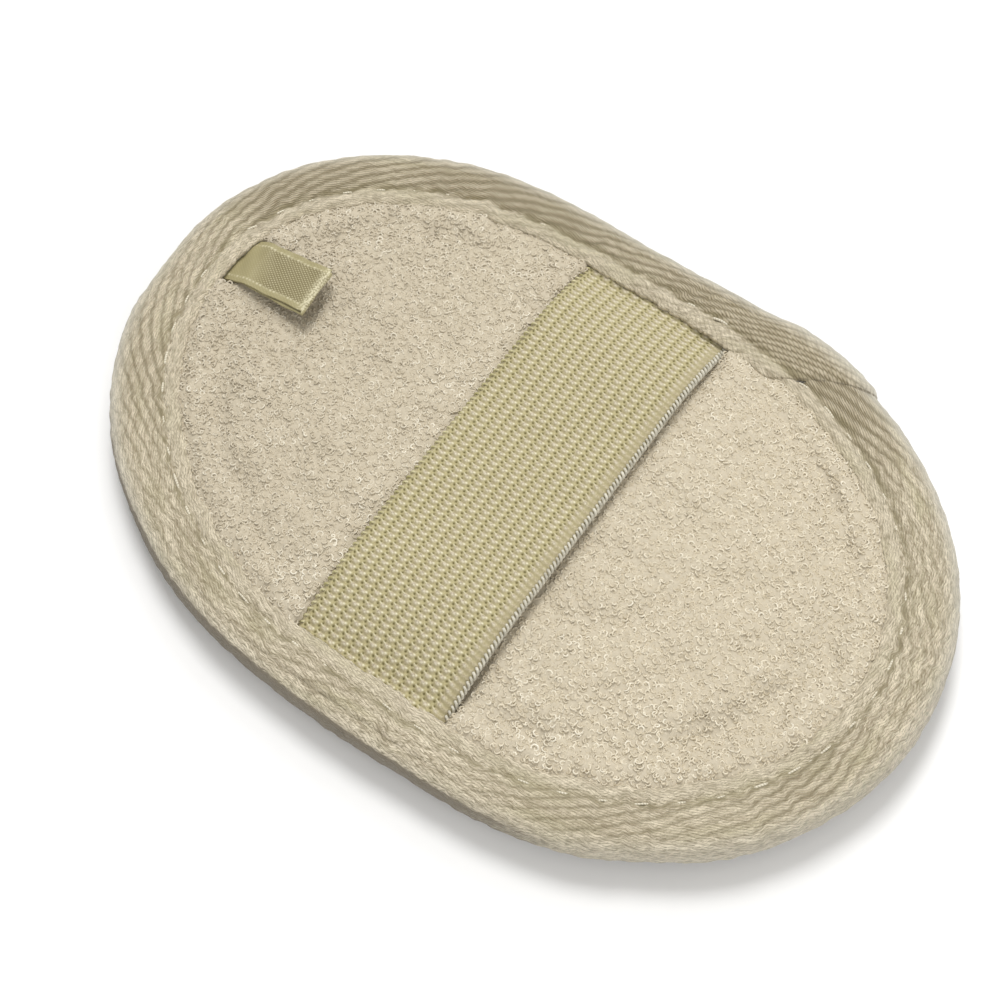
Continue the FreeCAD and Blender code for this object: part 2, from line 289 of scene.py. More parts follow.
def closed_sheet(name, grid_x, grid_y, face, back, keep, material, downward=False):
    """Thin closed body between two fields of height: face is the side that shows."""
    count = grid_x.size
    points = np.concatenate([np.stack([grid_x, grid_y, height], -1).reshape(-1, 3)
                             for height in (face, back)])
    quads = grid_faces(*grid_x.shape)[:, ::-1 if downward else 1]
    quads = quads[keep.ravel()[quads].all(1)]
    edges = np.concatenate([quads[:, [i, (i + 1) % 4]] for i in range(4)])
    ordered = np.sort(edges, 1)
    _, first, times = np.unique(ordered[:, 0] * count + ordered[:, 1], return_index=True,
                                return_counts=True)
    rim = edges[first[times == 1]]
    walls = np.stack([rim[:, 1], rim[:, 0], rim[:, 0] + count, rim[:, 1] + count], -1)
    faces = np.concatenate([quads, quads[:, ::-1] + count, walls])
    used, packed = np.unique(faces, return_inverse=True)
    return new_object(name, points[used], [packed.reshape(-1, 4)], material)


def points_of(mesh):
    return np.array([vertex.co for vertex in mesh.vertices])


def set_points(piece, points):
    piece.data.vertices.foreach_set("co", points.astype(np.float32).ravel())
    piece.data.update()


def tubes(lines, radii, reference, sides):
    """Points and faces of round tubes along many lines at once.

    lines is (tubes, steps, 3), radii (tubes, steps) and reference a vector for each tube or one
    for all, never along the line.
    """
    along = np.gradient(lines, axis=1)
    along /= np.linalg.norm(along, axis=2, keepdims=True) + 1e-12
    reference = np.broadcast_to(np.asarray(reference, float)[..., None, :], lines.shape)
    first = np.cross(along, reference)
    first /= np.linalg.norm(first, axis=2, keepdims=True) + 1e-12
    second = np.cross(first, along)
    angle = 2 * math.pi * np.arange(sides) / sides
    ring = (first[:, :, None, :] * np.cos(angle)[None, None, :, None]
            + second[:, :, None, :] * np.sin(angle)[None, None, :, None])
    points = lines[:, :, None, :] + ring * radii[:, :, None, None]
    count, steps = lines.shape[:2]
    one = grid_faces(steps, sides, wrap_columns=True)[:, ::-1]
    base = (np.arange(count) * steps * sides)[:, None]
    quads = (one[None, :, :] + base[:, :, None]).reshape(-1, 4)
    cap = np.arange(sides)
    ends = np.concatenate([base + cap[None, :], base + (steps - 1) * sides + cap[None, ::-1]])
    return points.reshape(-1, 3), quads, ends


# ---------------------------------------------------------------- material tools
class Signal:
    """A node's output, which can be added, subtracted and multiplied as a number can."""

    def __init__(self, shader, socket):
        self.shader, self.socket = shader, socket

    def __add__(self, other):
        return self.shader.math("ADD", self, other)

    def __sub__(self, other):
        return self.shader.math("SUBTRACT", self, other)

    def __rsub__(self, other):
        return self.shader.math("SUBTRACT", other, self)

    def __mul__(self, other):
        return self.shader.math("MULTIPLY", self, other)

    def __abs__(self):
        return self.shader.math("ABSOLUTE", self)

    __radd__, __rmul__ = __add__, __mul__


class Shader:
    """A principled material with short ways to add nodes."""

    def __init__(self, name):
        self.material = bpy.data.materials.new(name)
        self.material.use_nodes = True
        self.tree = self.material.node_tree

    def feed(self, socket, value):
        if isinstance(value, Signal):
            self.tree.links.new(value.socket, socket)
        elif isinstance(value, tuple) and socket.type == "RGBA":
            socket.default_value = (*value, 1.0)
        else:
            socket.default_value = value

    def node(self, kind, inputs, output=0, **settings):
        made = self.tree.nodes.new(kind)
        for key, value in settings.items():
            setattr(made, key, value)
        for key, value in inputs.items():
            self.feed(made.inputs[key], value)
        return Signal(self, made.outputs[output])

    def math(self, operation, first, second=0.0):
        return self.node("ShaderNodeMath", {0: first, 1: second}, operation=operation)

    def attribute(self, name, output="Fac"):
        return self.node("ShaderNodeAttribute", {}, output, attribute_name=name)

    def split(self, vector):
        parts = self.node("ShaderNodeSeparateXYZ", {0: vector}).socket.node.outputs
        return [Signal(self, part) for part in parts]

    def place(self):
        """Position in the object's own frame, in metres."""
        return self.node("ShaderNodeTexCoord", {}, "Object")

    def noise(self, vector, scale, detail, roughness):
        return self.node("ShaderNodeTexNoise", {"Vector": vector, "Scale": scale, "Detail": detail,
                                                "Roughness": roughness}, "Fac")

    def grain(self, scale, detail=3.0, roughness=0.55):
        """Noise that is the same in every direction."""
        return self.noise(self.place(), scale, detail, roughness)

    def streaks(self, weave, along, across, detail, roughness=0.55):
        """Noise stretched along the yarns, by how fast it changes along and across them."""
        stretched = self.node("ShaderNodeMapping", {"Vector": weave, "Scale": (along, across, 1.0)})
        return self.noise(stretched, 1.0, detail, roughness)

    def ramp(self, factor, low, high):
        return self.node("ShaderNodeMapRange", {"Value": factor, "From Min": low, "From Max": high})

    def mix(self, factor, first, second):
        colour_sockets = {0: factor, 6: first, 7: second}
        return self.node("ShaderNodeMix", colour_sockets, 2, data_type="RGBA")

    def layers(self, body, *pairs):
        """Body with colours laid over it in turn, each by its own factor."""
        for factor, colour in pairs:
            body = self.mix(factor, body, colour)
        return body

    def bump(self, height, distance, strength):
        return self.node("ShaderNodeBump", {"Height": height, "Distance": distance,
                                            "Strength": strength})

    def finish(self, colour, roughness, normal=None, sheen=0.0):
        inputs = self.tree.nodes["Principled BSDF"].inputs
        values = {"Base Color": colour, "Roughness": roughness, "Sheen Weight": sheen,
                  "Sheen Roughness": 0.4, "Specular IOR Level": 0.25}
        if normal is not None:
            values["Normal"] = normal
        for key, value in values.items():
            self.feed(inputs[key], value)
        return self.material


def cotton_loops():
    """Undyed cotton yarn of the terry loops, with painted shade: darker and warmer low on each loop, near
    the ground cloth.
    """
    s = Shader("terry_loop_cotton")
    side = s.split(s.place())[0]
    body = s.layers(
        # painted shade: the height attribute runs from dark low on a loop to light at its top
        s.mix(s.attribute("height"), (0.54, 0.467, 0.335), (0.85, 0.775, 0.62)),
        # painted shade: the loops darken towards the left (-X) side, where the light falls weaker
        (s.ramp(side, 0.035, -0.05) * 0.72, (0.50, 0.44, 0.335)),
        (s.ramp(s.grain(70.0), 0.35, 0.7) * 0.25, (0.57, 0.50, 0.375)),
        (s.attribute("tone"), (0.93, 0.88, 0.75)))
    return s.finish(body, 0.92, s.bump(s.grain(6000.0, 2.0), 0.00006, 0.4), sheen=0.25)


def terry_ground():
    """Ground cloth of the terry, seen between the loops."""
    s = Shader("terry_ground_cotton")
    side = s.split(s.place())[0]
    fuzz = s.grain(2200.0, 4.0, 0.7)
    body = s.layers(
        # painted shade: the ground cloth is darker than the loops' yarn, for the shade between the loops
        s.mix(s.ramp(fuzz, 0.3, 0.7), (0.45, 0.395, 0.295), (0.58, 0.515, 0.40)),
        (s.ramp(s.grain(70.0), 0.3, 0.7) * 0.2, (0.54, 0.475, 0.355)),
        # painted light: the ground cloth lightens towards the right (+X) side, where the light falls
        # stronger
        (s.ramp(side, -0.04, 0.02) * 0.22, (0.66, 0.59, 0.46)))
    return s.finish(body, 0.95, s.bump(fuzz, 0.0002, 0.5), sheen=0.2)


def binding_twill():
    """Beige twill tape: ribs with serrated grooves where it is taut, loose strands elsewhere."""
    s = Shader("binding_twill")
    weave = s.attribute("weave", "Vector")
    rib_phase, float_phase, ribbing = s.split(s.attribute("phases", "Vector"))
    seam, rim, lip = s.split(s.attribute("marks", "Vector"))
    firm = ribbing * ribbing
    waver = s.streaks(weave, 0.5, 1.2, 2.0)
    steps = s.math("FRACT", float_phase + waver * 0.8)
    teeth = (steps - 0.5) * (0.04 + firm * firm * 0.46)
    sway = waver * (0.07 + firm * 0.18)
    rib_place = rib_phase + (teeth + sway)
    rib = abs(s.math("SINE", rib_place * math.pi))
    strand = s.node("ShaderNodeCombineXYZ", {0: s.math("FLOOR", rib_place),
                                             1: s.math("FLOOR", float_phase)})
    strand_tone = s.node("ShaderNodeTexWhiteNoise", {"Vector": strand}, "Value")
    long_tone = s.streaks(weave, 0.70, 3.8, 3.0, 0.6)
    shade = s.streaks(weave, 0.20, 1.0, 2.0)
    green = s.streaks(weave, 0.06, 0.25, 2.0)
    fleck = s.ramp(s.streaks(weave, 0.85, 4.0, 1.0, 0.45), 0.545, 0.60)
    speck = s.ramp(s.streaks(weave, 1.9, 7.5, 1.0, 0.45), 0.55, 0.63)
    groove = (1.0 - s.ramp(rib, 0.15, 0.80)) * ribbing
    edge = 1.0 - s.ramp(abs(steps - 0.5), 0.30, 0.5)
    broken = s.ramp(s.streaks(weave, 0.32, 0.8, 2.0), 0.40, 0.58)
    # painted shade, read from the under mask with a streaky edge: darker on the tape's lower, down-facing
    # side and at its turned end
    painted_shade = s.ramp(s.attribute("under") + (long_tone - 0.5) * 0.9, 0.34, 0.54)
    body = s.layers(
        s.mix(strand_tone, (0.45, 0.382, 0.275), (0.81, 0.72, 0.555)),
        (s.ramp(long_tone, 0.50, 0.60) * 0.75, (0.82, 0.74, 0.57)),
        (s.ramp(shade, 0.50, 0.66) * 0.40, (0.36, 0.315, 0.205)),
        (s.ramp(green, 0.50, 0.70) * 0.35, (0.50, 0.47, 0.27)),
        (fleck * (1.0 - ribbing * 0.8) * 0.80, (0.24, 0.20, 0.12)),
        (speck * 0.50, (0.26, 0.22, 0.13)),
        # painted shade: the taut, ribbed stretch is darker all over, and its rib grooves darker still, for
        # the shade in the grooves
        (firm * 0.60, (0.37, 0.31, 0.205)),
        (groove * 0.92, (0.165, 0.135, 0.07)),
        ((1.0 - edge) * (0.22 + firm * 0.20), (0.25, 0.21, 0.13)),
        (lip * 0.25, (0.66, 0.59, 0.455)),
        # painted sheen: a greyer, cooler colour over the outer fold
        (rim * 0.55, (0.57, 0.555, 0.49)),
        # painted shade in the seam's pulled-in groove, broken along it
        (seam * broken * 0.75, (0.24, 0.205, 0.115)),
        # painted shade on the tape's lower, down-facing side and at its turned end
        (painted_shade * 0.90, (0.195, 0.165, 0.12)))
    yarn = s.streaks(weave, 1.6, 9.0, 3.0, 0.6)
    relief = edge * 0.6 + yarn + rib * ribbing * 0.9
    return s.finish(body, 0.9, s.bump(relief, 0.00022, 0.8), sheen=0.25)


def knitted_elastic():
    """Knitted elastic: pale beige lumps between yellow-green yarns, with painted shade in its needle holes
    and valleys and painted glints on its yarns.
    """
    s = Shader("knitted_elastic")
    mottle = s.ramp(s.grain(3200.0, 2.0), 0.35, 0.65)
    green = s.mix(s.grain(300.0), (0.36, 0.307, 0.15), (0.43, 0.377, 0.205))
    green = s.mix(mottle * 0.35, green, (0.62, 0.58, 0.34))
    beige = s.mix(mottle, (0.34, 0.287, 0.21), (0.57, 0.50, 0.385))
    body = s.layers(
        s.mix(s.attribute("lump"), green, beige),
        # painted shade in the valleys between lumps
        (s.attribute("valley"), (0.31, 0.265, 0.165)),
        # painted highlight: glints on the lumps and yarn dashes
        (s.attribute("glint"), (0.82, 0.78, 0.59)),
        # painted shade in the needle holes
        (s.attribute("hole"), (0.145, 0.122, 0.045)))
    return s.finish(body, 0.82, s.bump(s.grain(5200.0, 2.0), 0.00010, 0.5), sheen=0.12)


def selvedge_cotton():
    """Pale cool yarn that overlocks the strap's right edge."""
    s = Shader("selvedge_cotton")
    body = s.mix(s.ramp(s.grain(1100.0), 0.35, 0.65), (0.42, 0.395, 0.32), (0.70, 0.665, 0.56))
    return s.finish(body, 0.8, s.bump(s.grain(6000.0, 2.0), 0.0001, 0.6), sheen=0.15)


def picot_yarn():
    """Yellow-green yarn that turns round the strap's left edge."""
    s = Shader("picot_yarn")
    drift = s.grain(900.0)
    body = s.mix(s.ramp(drift, 0.35, 0.65), (0.38, 0.345, 0.16), (0.62, 0.57, 0.36))
    return s.finish(body, 0.82, s.bump(drift, 0.0001, 0.5), sheen=0.15)


def satin_ribbon():
    """Olive satin ribbon: smooth and yellower near its root, a fine dotted twill beyond."""
    s = Shader("satin_ribbon")
    weave = s.attribute("weave", "Vector")
    along, across, smooth = s.split(weave)
    rate = 2 * math.pi / RIBBON_DOT_PITCH
    rising = s.math("SINE", (along + across * 1.35) * rate)
    falling = s.math("SINE", (along - across * 1.35) * rate)
    dots = s.ramp(rising + falling, 0.2, 1.6)
    body = s.layers(
        s.mix(s.streaks(weave, 0.12, 0.5, 3.0), (0.17, 0.14, 0.065), (0.235, 0.20, 0.10)),
        (smooth, (0.32, 0.28, 0.145)),
        (dots * (1.0 - smooth * 0.75) * 0.72, (0.54, 0.495, 0.31)),
        # pale selvedge threads along both edges, and a painted glint along the fold at the tip
        (s.attribute("selvedge"), (0.66, 0.61, 0.42)))
    return s.finish(body, 0.46, s.bump(dots, 0.00005, 0.5), sheen=0.1)


def sewing_thread():
    """Pale polyester-cotton sewing thread with a two-ply twist."""
    s = Shader("sewing_thread")
    along, around, _ = s.split(s.attribute("weave", "Vector"))
    ply = s.math("SINE", along * 14.0 + around)
    body = s.mix(s.ramp(ply, -1.0, 1.0), (0.55, 0.50, 0.38), (0.77, 0.72, 0.59))
    return s.finish(body, 0.55, s.bump(ply, 0.00006, 0.6), sheen=0.1)


def loofah_fibre():
    """Straw-coloured plant fibre, each in its own tone."""
    s = Shader("loofah_fibre")
    grain = s.grain(900.0)
    body = s.layers(s.mix(s.attribute("tone"), (0.42, 0.29, 0.13), (0.76, 0.61, 0.36)),
                    (s.ramp(grain, 0.5, 0.8) * 0.5, (0.85, 0.74, 0.52)))
    return s.finish(body, 0.7, s.bump(grain, 0.0001, 0.6))


def loofah_tissue():
    """Dense inner tissue of the flattened gourd."""
    s = Shader("loofah_mat")
    grain = s.grain(500.0, 5.0, 0.7)
    body = s.mix(grain, (0.24, 0.16, 0.07), (0.60, 0.46, 0.25))
    return s.finish(body, 0.85, s.bump(grain, 0.0008, 0.9))


def foam_sponge():
    """Pale open-celled sponge."""
    s = Shader("foam_sponge")
    cells = s.node("ShaderNodeTexVoronoi", {"Vector": s.place(), "Scale": 900.0}, "Distance")
    body = s.mix(cells, (0.42, 0.38, 0.28), (0.86, 0.82, 0.68))
    return s.finish(body, 0.95, s.bump(cells, 0.0006, 0.8))


def plain_floor():
    """Matt off-white paper."""
    s = Shader("paper_floor")
    return s.finish(s.mix(s.grain(120.0), (0.90, 0.90, 0.90), (0.93, 0.93, 0.93)), 0.95)


# ---------------------------------------------------------------- the strap's own line
def strap_reach(side):
    """Distance along the strap from the middle to the tape's edge."""
    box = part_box("strap_side_front" if side < 0 else "strap_side_rear")
    far = box[0].y if side < 0 else box[1].y
    skewed = STRAP_WIDTH / 2 * math.sin(abs(STRAP_SKEW))
    return (abs(far) / MM - skewed) / math.cos(STRAP_SKEW)


REACH = {-1: strap_reach(-1), 1: strap_reach(1)}
STRAP_CROWN = sum(corner.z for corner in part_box("strap_middle")) / 2 / MM
STRAP_TAIL = sum(corner.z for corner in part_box("strap_tail_front")) / 2 / MM


def strap_height(along):
    """Height of the strap's middle line at a signed distance along it."""
    reach = np.where(along < 0, REACH[-1], REACH[1])
    share = np.clip((np.abs(along) - STRAP_CROWN_HALF) / (reach - STRAP_CROWN_HALF), 0, 1)
    return STRAP_CROWN - (STRAP_CROWN - STRAP_TAIL) * share ** STRAP_BEND


def to_strap(x, y):
    """Across and along the strap, in mm, of points in the frame."""
    dx = x - STRAP_CENTRE_X
    across = dx * math.cos(STRAP_SKEW) + y * math.sin(STRAP_SKEW)
    along = -dx * math.sin(STRAP_SKEW) + y * math.cos(STRAP_SKEW)
    return across, along


def from_strap(across, along):
    """The frame's x and y of points across and along the strap."""
    x = across * math.cos(STRAP_SKEW) - along * math.sin(STRAP_SKEW) + STRAP_CENTRE_X
    y = across * math.sin(STRAP_SKEW) + along * math.cos(STRAP_SKEW)
    return x, y


# ---------------------------------------------------------------- the ribbon's own line
RIBBON_BOXES = [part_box(node) for node in ("ribbon_tail", "hanging_loop")]
RIBBON_WIDTH = (RIBBON_BOXES[1][1].y - RIBBON_BOXES[1][0].y) / MM
RIBBON_MIDDLE = (RIBBON_BOXES[1][1].y + RIBBON_BOXES[1][0].y) / 2 / MM
RIBBON_START = RIBBON_BOXES[0][0].x / MM
RIBBON_TIP = RIBBON_BOXES[1][1].x / MM + RIBBON_PAST_CAD
RIBBON_TAIL = RIBBON_BOXES[0][0].z / MM + 0.4
HINGE_X, HINGE_Z = (frame["joints"][1]["pos_m"][axis] / MM for axis in (0, 2))


def ribbon_height(x):
    """Height of the doubled ribbon's middle line."""
    tip = np.maximum(x - HINGE_X, 0)
    climb = smooth_step(x, HINGE_X - RIBBON_CLIMB, HINGE_X + 1.2)
    return RIBBON_TAIL + (HINGE_Z - RIBBON_TAIL) * climb + 0.15 * tip + 0.005 * tip ** 1.9


def under_ribbon(x, y, blur):
    """1 under the root of the ribbon, falling to 0 beyond its edges and past its hinge."""
    beside = within(y - RIBBON_MIDDLE, RIBBON_WIDTH / 2 - 0.2, RIBBON_WIDTH / 2 + blur)
    return beside * (1 - smooth_step(x, HINGE_X + 0.6, HINGE_X + 4.0))


def ribbon_hollow(x, y):
    """1 in the middle of the hollow that the ribbon's tip leaves in the terry, 0 away from it."""
    return bump_at(x, RIBBON_TIP - 2.0, 8.0) * bump_at(y, RIBBON_MIDDLE - 2.5, 8.0)


# ---------------------------------------------------------------- padded body
def resting_height(distance):
    """Height of the terry's ground cloth by its distance inside the tape's edge."""
    inside = GROUND_RISE * (1 - np.exp(-np.maximum(distance, 0) / GROUND_RISE_REACH))
    return GROUND_EDGE_HEIGHT + inside + 0.25 * np.minimum(distance, 0)


def puffed_pad():
    """Closed pad of terry over foam, puffed by a short cloth simulation, then held back."""
    turn = np.linspace(0, 2 * math.pi, 145)[:-1]
    shares = np.concatenate([np.linspace(0.0, 0.88, 20), [0.94, 0.975, 1.0]])
    edge = inset_line(turn, upper_width(turn) - 5.0)
    upper, lower = [], []
    for share in shares:
        ring = edge * share
        top = resting_height(inside_by(ring[:, 0], ring[:, 1], UPPER_EDGE))
        upper.append(np.column_stack([ring, top]))
        lower.append(np.column_stack([ring, np.minimum(top - 0.4, 6.2)]))
    rings = upper[1:] + lower[:0:-1]
    count = len(turn)
    here = np.arange(count)
    ahead = (here + 1) % count
    apex = len(rings) * count
    last = apex - count
    top_fan = np.stack([0 * here + apex, here, ahead], -1)
    low_fan = np.stack([0 * here + apex + 1, last + ahead, last + here], -1)
    points = np.concatenate(rings + [upper[0][:1], lower[0][:1]])
    quads = grid_faces(len(rings), count, wrap_columns=True)
    return new_object("puffed_pad", points, [quads, top_fan, low_fan], MATERIALS["foam"])


def simulate(pad, pressure=4.0, frames=20, cap=0.7):
    """Voxel remesh, cloth with pressure and no gravity, then a cap on how far a point moved."""
    bpy.context.view_layer.objects.active = pad
    remesh = pad.modifiers.new("remesh", "REMESH")
    remesh.mode = "VOXEL"
    remesh.voxel_size = PAD_VOXEL * MM
    bpy.ops.object.modifier_apply(modifier=remesh.name)
    start = points_of(pad.data)
    depth = inside_by(start[:, 0] / MM, start[:, 1] / MM, UPPER_EDGE)
    held = pad.vertex_groups.new(name="held")
    for index in np.nonzero((depth < 0.5) | (start[:, 2] < 6.4 * MM))[0]:
        held.add([int(index)], 1.0, "REPLACE")
    cloth = pad.modifiers.new("cloth", "CLOTH")
    for setting, value in (("quality", 5), ("mass", 0.25), ("tension_stiffness", 8),
                           ("compression_stiffness", 8), ("shear_stiffness", 4),
                           ("bending_stiffness", 0.4), ("use_pressure", True),
                           ("uniform_pressure_force", pressure),
                           ("vertex_group_mass", "held"), ("shrink_min", -0.04)):
        setattr(cloth.settings, setting, value)
    cloth.settings.effector_weights.gravity = 0
    cloth.collision_settings.use_self_collision = False
    scene = bpy.context.scene
    for timed in (scene, cloth.point_cache):
        timed.frame_start, timed.frame_end = 1, frames
    for step in range(1, frames + 1):
        scene.frame_set(step)
    shaped = pad.evaluated_get(bpy.context.evaluated_depsgraph_get())
    move = points_of(shaped.data) - start
    pad.modifiers.remove(cloth)
    scene.frame_set(1)
    size = np.linalg.norm(move, axis=1, keepdims=True)
    limit = cap * MM
    move *= np.where(size > limit, limit / np.maximum(size, 1e-9), 1.0)
    set_points(pad, start + move)


class Ground:
    """Height of the terry's ground cloth anywhere, read from the puffed pad, with its dents."""

    def __init__(self, pad):
        faces = [tuple(face.vertices) for face in pad.data.polygons]
        tree = BVHTree.FromPolygons([vertex.co.copy() for vertex in pad.data.vertices], faces)
        grid_x, grid_y = lattice(76.0, 54.0, 1.0)
        self.corner = grid_x[0, 0], grid_y[0, 0]
        self.depth = inside_by(grid_x, grid_y, UPPER_EDGE)
        self.heights = resting_height(self.depth)
        for index in np.ndindex(grid_x.shape):
            high = Vector((grid_x[index] * MM, grid_y[index] * MM, 0.03))
            hit = tree.ray_cast(high, Vector((0, 0, -1)))[0]
            if hit is not None and self.depth[index] > -3.0:
                self.heights[index] = hit.z / MM

    def sample(self, field, x, y):
        """Bilinear reading of a field kept on the grid, whose points are 1 mm apart."""
        fx = np.clip(x - self.corner[0], 0, field.shape[0] - 1.001)
        fy = np.clip(y - self.corner[1], 0, field.shape[1] - 1.001)
        ix, iy = fx.astype(int), fy.astype(int)
        tx, ty = fx - ix, fy - iy
        low = field[ix, iy] * (1 - tx) + field[ix + 1, iy] * tx
        high = field[ix, iy + 1] * (1 - tx) + field[ix + 1, iy + 1] * tx
        return low * (1 - ty) + high * ty

    def inside(self, x, y):
        return self.sample(self.depth, x, y)

    def height(self, x, y):
        """Ground cloth's height: swell, soft dents, and the press of the strap and the ribbon."""
        depth = self.inside(x, y)
        height = self.sample(self.heights, x, y)
        soft = smooth_step(depth, 0.0, 9.0)
        dents = 0.16 * soft_noise(x, y, 16.0, 3) + 0.10 * soft_noise(x, y, 7.0, 5)
        height = height + soft * dents - HOLLOW_UNDER_RIBBON * ribbon_hollow(x, y)
        across, along = to_strap(x, y)
        free_edge = smooth_step(across, 8.0, 15.0) * soft
        under = strap_height(along) - STRAP_THICKNESS / 2 - 0.5
        under = under - (0.35 + 0.45 * smooth_step(-along, -5.0, 15.0)) * free_edge
        reach = np.where(across > 0, 3.4, 1.6) * (0.25 + 0.75 * smooth_step(depth, -0.5, 7.0))
        covered = within(across, STRAP_WIDTH / 2 - 0.4, STRAP_WIDTH / 2 + reach)
        height = height * (1 - covered) + np.minimum(height, under) * covered
        under = ribbon_height(x) - 1.05
        covered = under_ribbon(x, y, 1.2)
        return height * (1 - covered) + np.minimum(height, under) * covered

    def covered(self, x, y):
        """1 under the strap, 0 away from it."""
        across, _ = to_strap(x, y)
        return within(across, STRAP_WIDTH / 2 - 0.8, STRAP_WIDTH / 2 + 0.2)


def keep_under(pad, ground):
    """Holds the pad's upper face under the ground cloth, where the strap or ribbon presses it."""
    points = points_of(pad.data) / MM
    limit = ground.height(points[:, 0], points[:, 1]) - 0.9
    points[:, 2] = np.minimum(points[:, 2], limit)
    set_points(pad, points * MM)


def terry_cloth(ground):
    """Ground cloth of the terry: a closed sheet that runs on under the tape all round."""
    grid_x, grid_y = lattice(75.0, 52.5, 0.75)
    top = ground.height(grid_x, grid_y) + 0.05 * soft_noise(grid_x, grid_y, 1.9, 11)
    bottom = np.minimum(top - 0.7, 6.4)
    keep = ground.inside(grid_x, grid_y) > -3.2
    return closed_sheet("terry_cloth", grid_x, grid_y, top, bottom, keep, MATERIALS["terry"])


def terry_loops(ground):
    """Thousands of small yarn loops over the ground cloth, in six sheets of pile."""
    rng = np.random.default_rng(21)
    xs = np.arange(-74.0, 74.0, LOOP_PITCH)
    ys = np.arange(-51.0, 51.0, LOOP_PITCH * 0.92)
    grid_x, grid_y = np.meshgrid(xs, ys, indexing="ij")
    grid_x = grid_x + (np.arange(len(ys)) % 2)[None, :] * LOOP_PITCH / 2
    x = (grid_x + rng.normal(0, 0.20, grid_x.shape)).ravel()
    y = (grid_y + rng.normal(0, 0.20, grid_x.shape)).ravel()
    thinned = (ground.covered(x, y) < 0.5) | (rng.uniform(0, 1, x.shape) < 0.8)
    keep = (ground.inside(x, y) > -0.30) & (under_ribbon(x, y, 0.6) < 0.3) & thinned
    x, y = x[keep], y[keep]
    covered = ground.covered(x, y)
    z = ground.height(x, y)
    count = len(x)
    across, along = to_strap(x, y)
    left_of_strap = bump_at(across, -18.5, 4.5) * (1 - smooth_step(along, 22.0, 34.0))
    front_right = smooth_step(across, 17.0, 24.0) * (1 - smooth_step(along, -34.0, -10.0))
    open_curls = 0.8 * left_of_strap + 0.6 * front_right + 0.22 * soft_noise(x, y, 14.0, 23)
    open_curls = np.clip(open_curls, 0, 1)
    heading = rng.uniform(0, 2 * math.pi, count)
    tilt = np.radians(rng.uniform(60, 89, count)) * (1 - covered) + math.radians(88) * covered
    size = rng.uniform(0.27, 0.42, count) + open_curls * rng.uniform(0.0, 0.22, count)
    size = size * (1 - 0.25 * covered)
    flat = np.stack([np.cos(heading), np.sin(heading), np.zeros(count)], -1)
    side = np.stack([-np.sin(heading), np.cos(heading), np.zeros(count)], -1)
    rise = side * np.sin(tilt)[:, None] + UP * np.cos(tilt)[:, None]
    normal = np.cross(flat, rise)
    steps = 7
    sweep = np.radians(np.linspace(-80, 225, steps))[None, :]
    curl = rng.uniform(-0.26, 0.26, count)[:, None] * (1 - 0.8 * covered[:, None])
    deeper = 0.03 * smooth_step(x, -40.0, 0.0) * (1 - covered)
    lift = UP * (0.06 * covered - 0.08 - deeper)[:, None]
    centre = np.stack([x, y, z], -1) + rise * (size * 0.40)[:, None] + lift
    stretch = rng.uniform(0.75, 1.45, count)[:, None] * (1 - 0.25 * open_curls[:, None])
    lines = (centre[:, None, :]
             + flat[:, None, :] * (size[:, None] * np.cos(sweep) * stretch)[..., None]
             + rise[:, None, :] * (size[:, None] * np.sin(sweep))[..., None]
             + normal[:, None, :] * (curl * np.linspace(-1, 1, steps)[None, :])[..., None])
    lines[..., 2] = np.maximum(lines[..., 2], z[:, None] - 0.12)
    thick = rng.uniform(0.85, 1.15, count) * (1 - 0.12 * open_curls)
    radii = np.full((count, steps), LOOP_YARN_RADIUS) * thick[:, None]
    # painted shadow: loops coloured darker in a strip beside the strap's right edge and in a patch below
    # the ribbon's tip
    beside = within(across, STRAP_WIDTH / 2, STRAP_WIDTH / 2 + 3.5) * (across > 0) * (1 - covered)
    beside = beside * smooth_step(ground.inside(x, y), 3.0, 9.0)
    painted_shadow = np.maximum(0.40 * beside, ribbon_hollow(x, y + 5.0))
    # painted shade: the lower a point of a loop lies, the darker its colour; painted_shadow darkens it
    # further
    rank = (lines[..., 2] - z[:, None] + 0.12) / 0.4 - painted_shadow[:, None]
    tone = rng.uniform(0, 1, count) ** 3 * (0.40 + 0.35 * open_curls)
    sides = 4
    pieces = []
    for half, on_half in (("left", across < 0), ("right", across >= 0)):
        for band, in_band in (("front", along < -13), ("middle", np.abs(along) <= 13),
                              ("rear", along > 13)):
            chosen = on_half & in_band
            points, quads, caps = tubes(lines[chosen], radii[chosen], normal[chosen], sides)
            piece = new_object(f"terry_loops_{half}_{band}", points, [quads, caps],
                               MATERIALS["loops"])
            # the height attribute carries the painted shade and the painted shadow
            paint(piece, "height", np.repeat(np.clip(rank[chosen], 0, 1).ravel(), sides))
            paint(piece, "tone", np.repeat(tone[chosen], steps * sides))
            pieces.append(piece)
    return pieces


# ---------------------------------------------------------------- binding tape
class Seam:
    """Where the stitches lie along one side of the binding."""

    def __init__(self, width):
        turn = np.linspace(0, 2 * math.pi, 2881)
        line = inset_line(turn, width(turn) - SEAM_FROM_TAPE_EDGE)
        self.turn = turn
        self.run = run_along(line)
        self.count = round(self.run[-1] / STITCH_PITCH)
        self.pitch = self.run[-1] / self.count

    def phase(self, turn):
        """Position within the stitch, from -0.5 to 0.5, 0 at a stitch's middle."""
        run = np.interp(np.mod(turn, 2 * math.pi), self.turn, self.run)
        return np.mod(run / self.pitch, 1.0) - 0.5

    def places(self, steps):
        """Outline parameters of every stitch, steps along each."""
        share = np.linspace(-0.5, 0.5, steps)[None, :] + np.arange(self.count)[:, None] + 0.5
        return np.interp(share * self.pitch, self.run, self.turn)


UPPER_SEAM = Seam(upper_width)
LOWER_SEAM = Seam(lower_width)


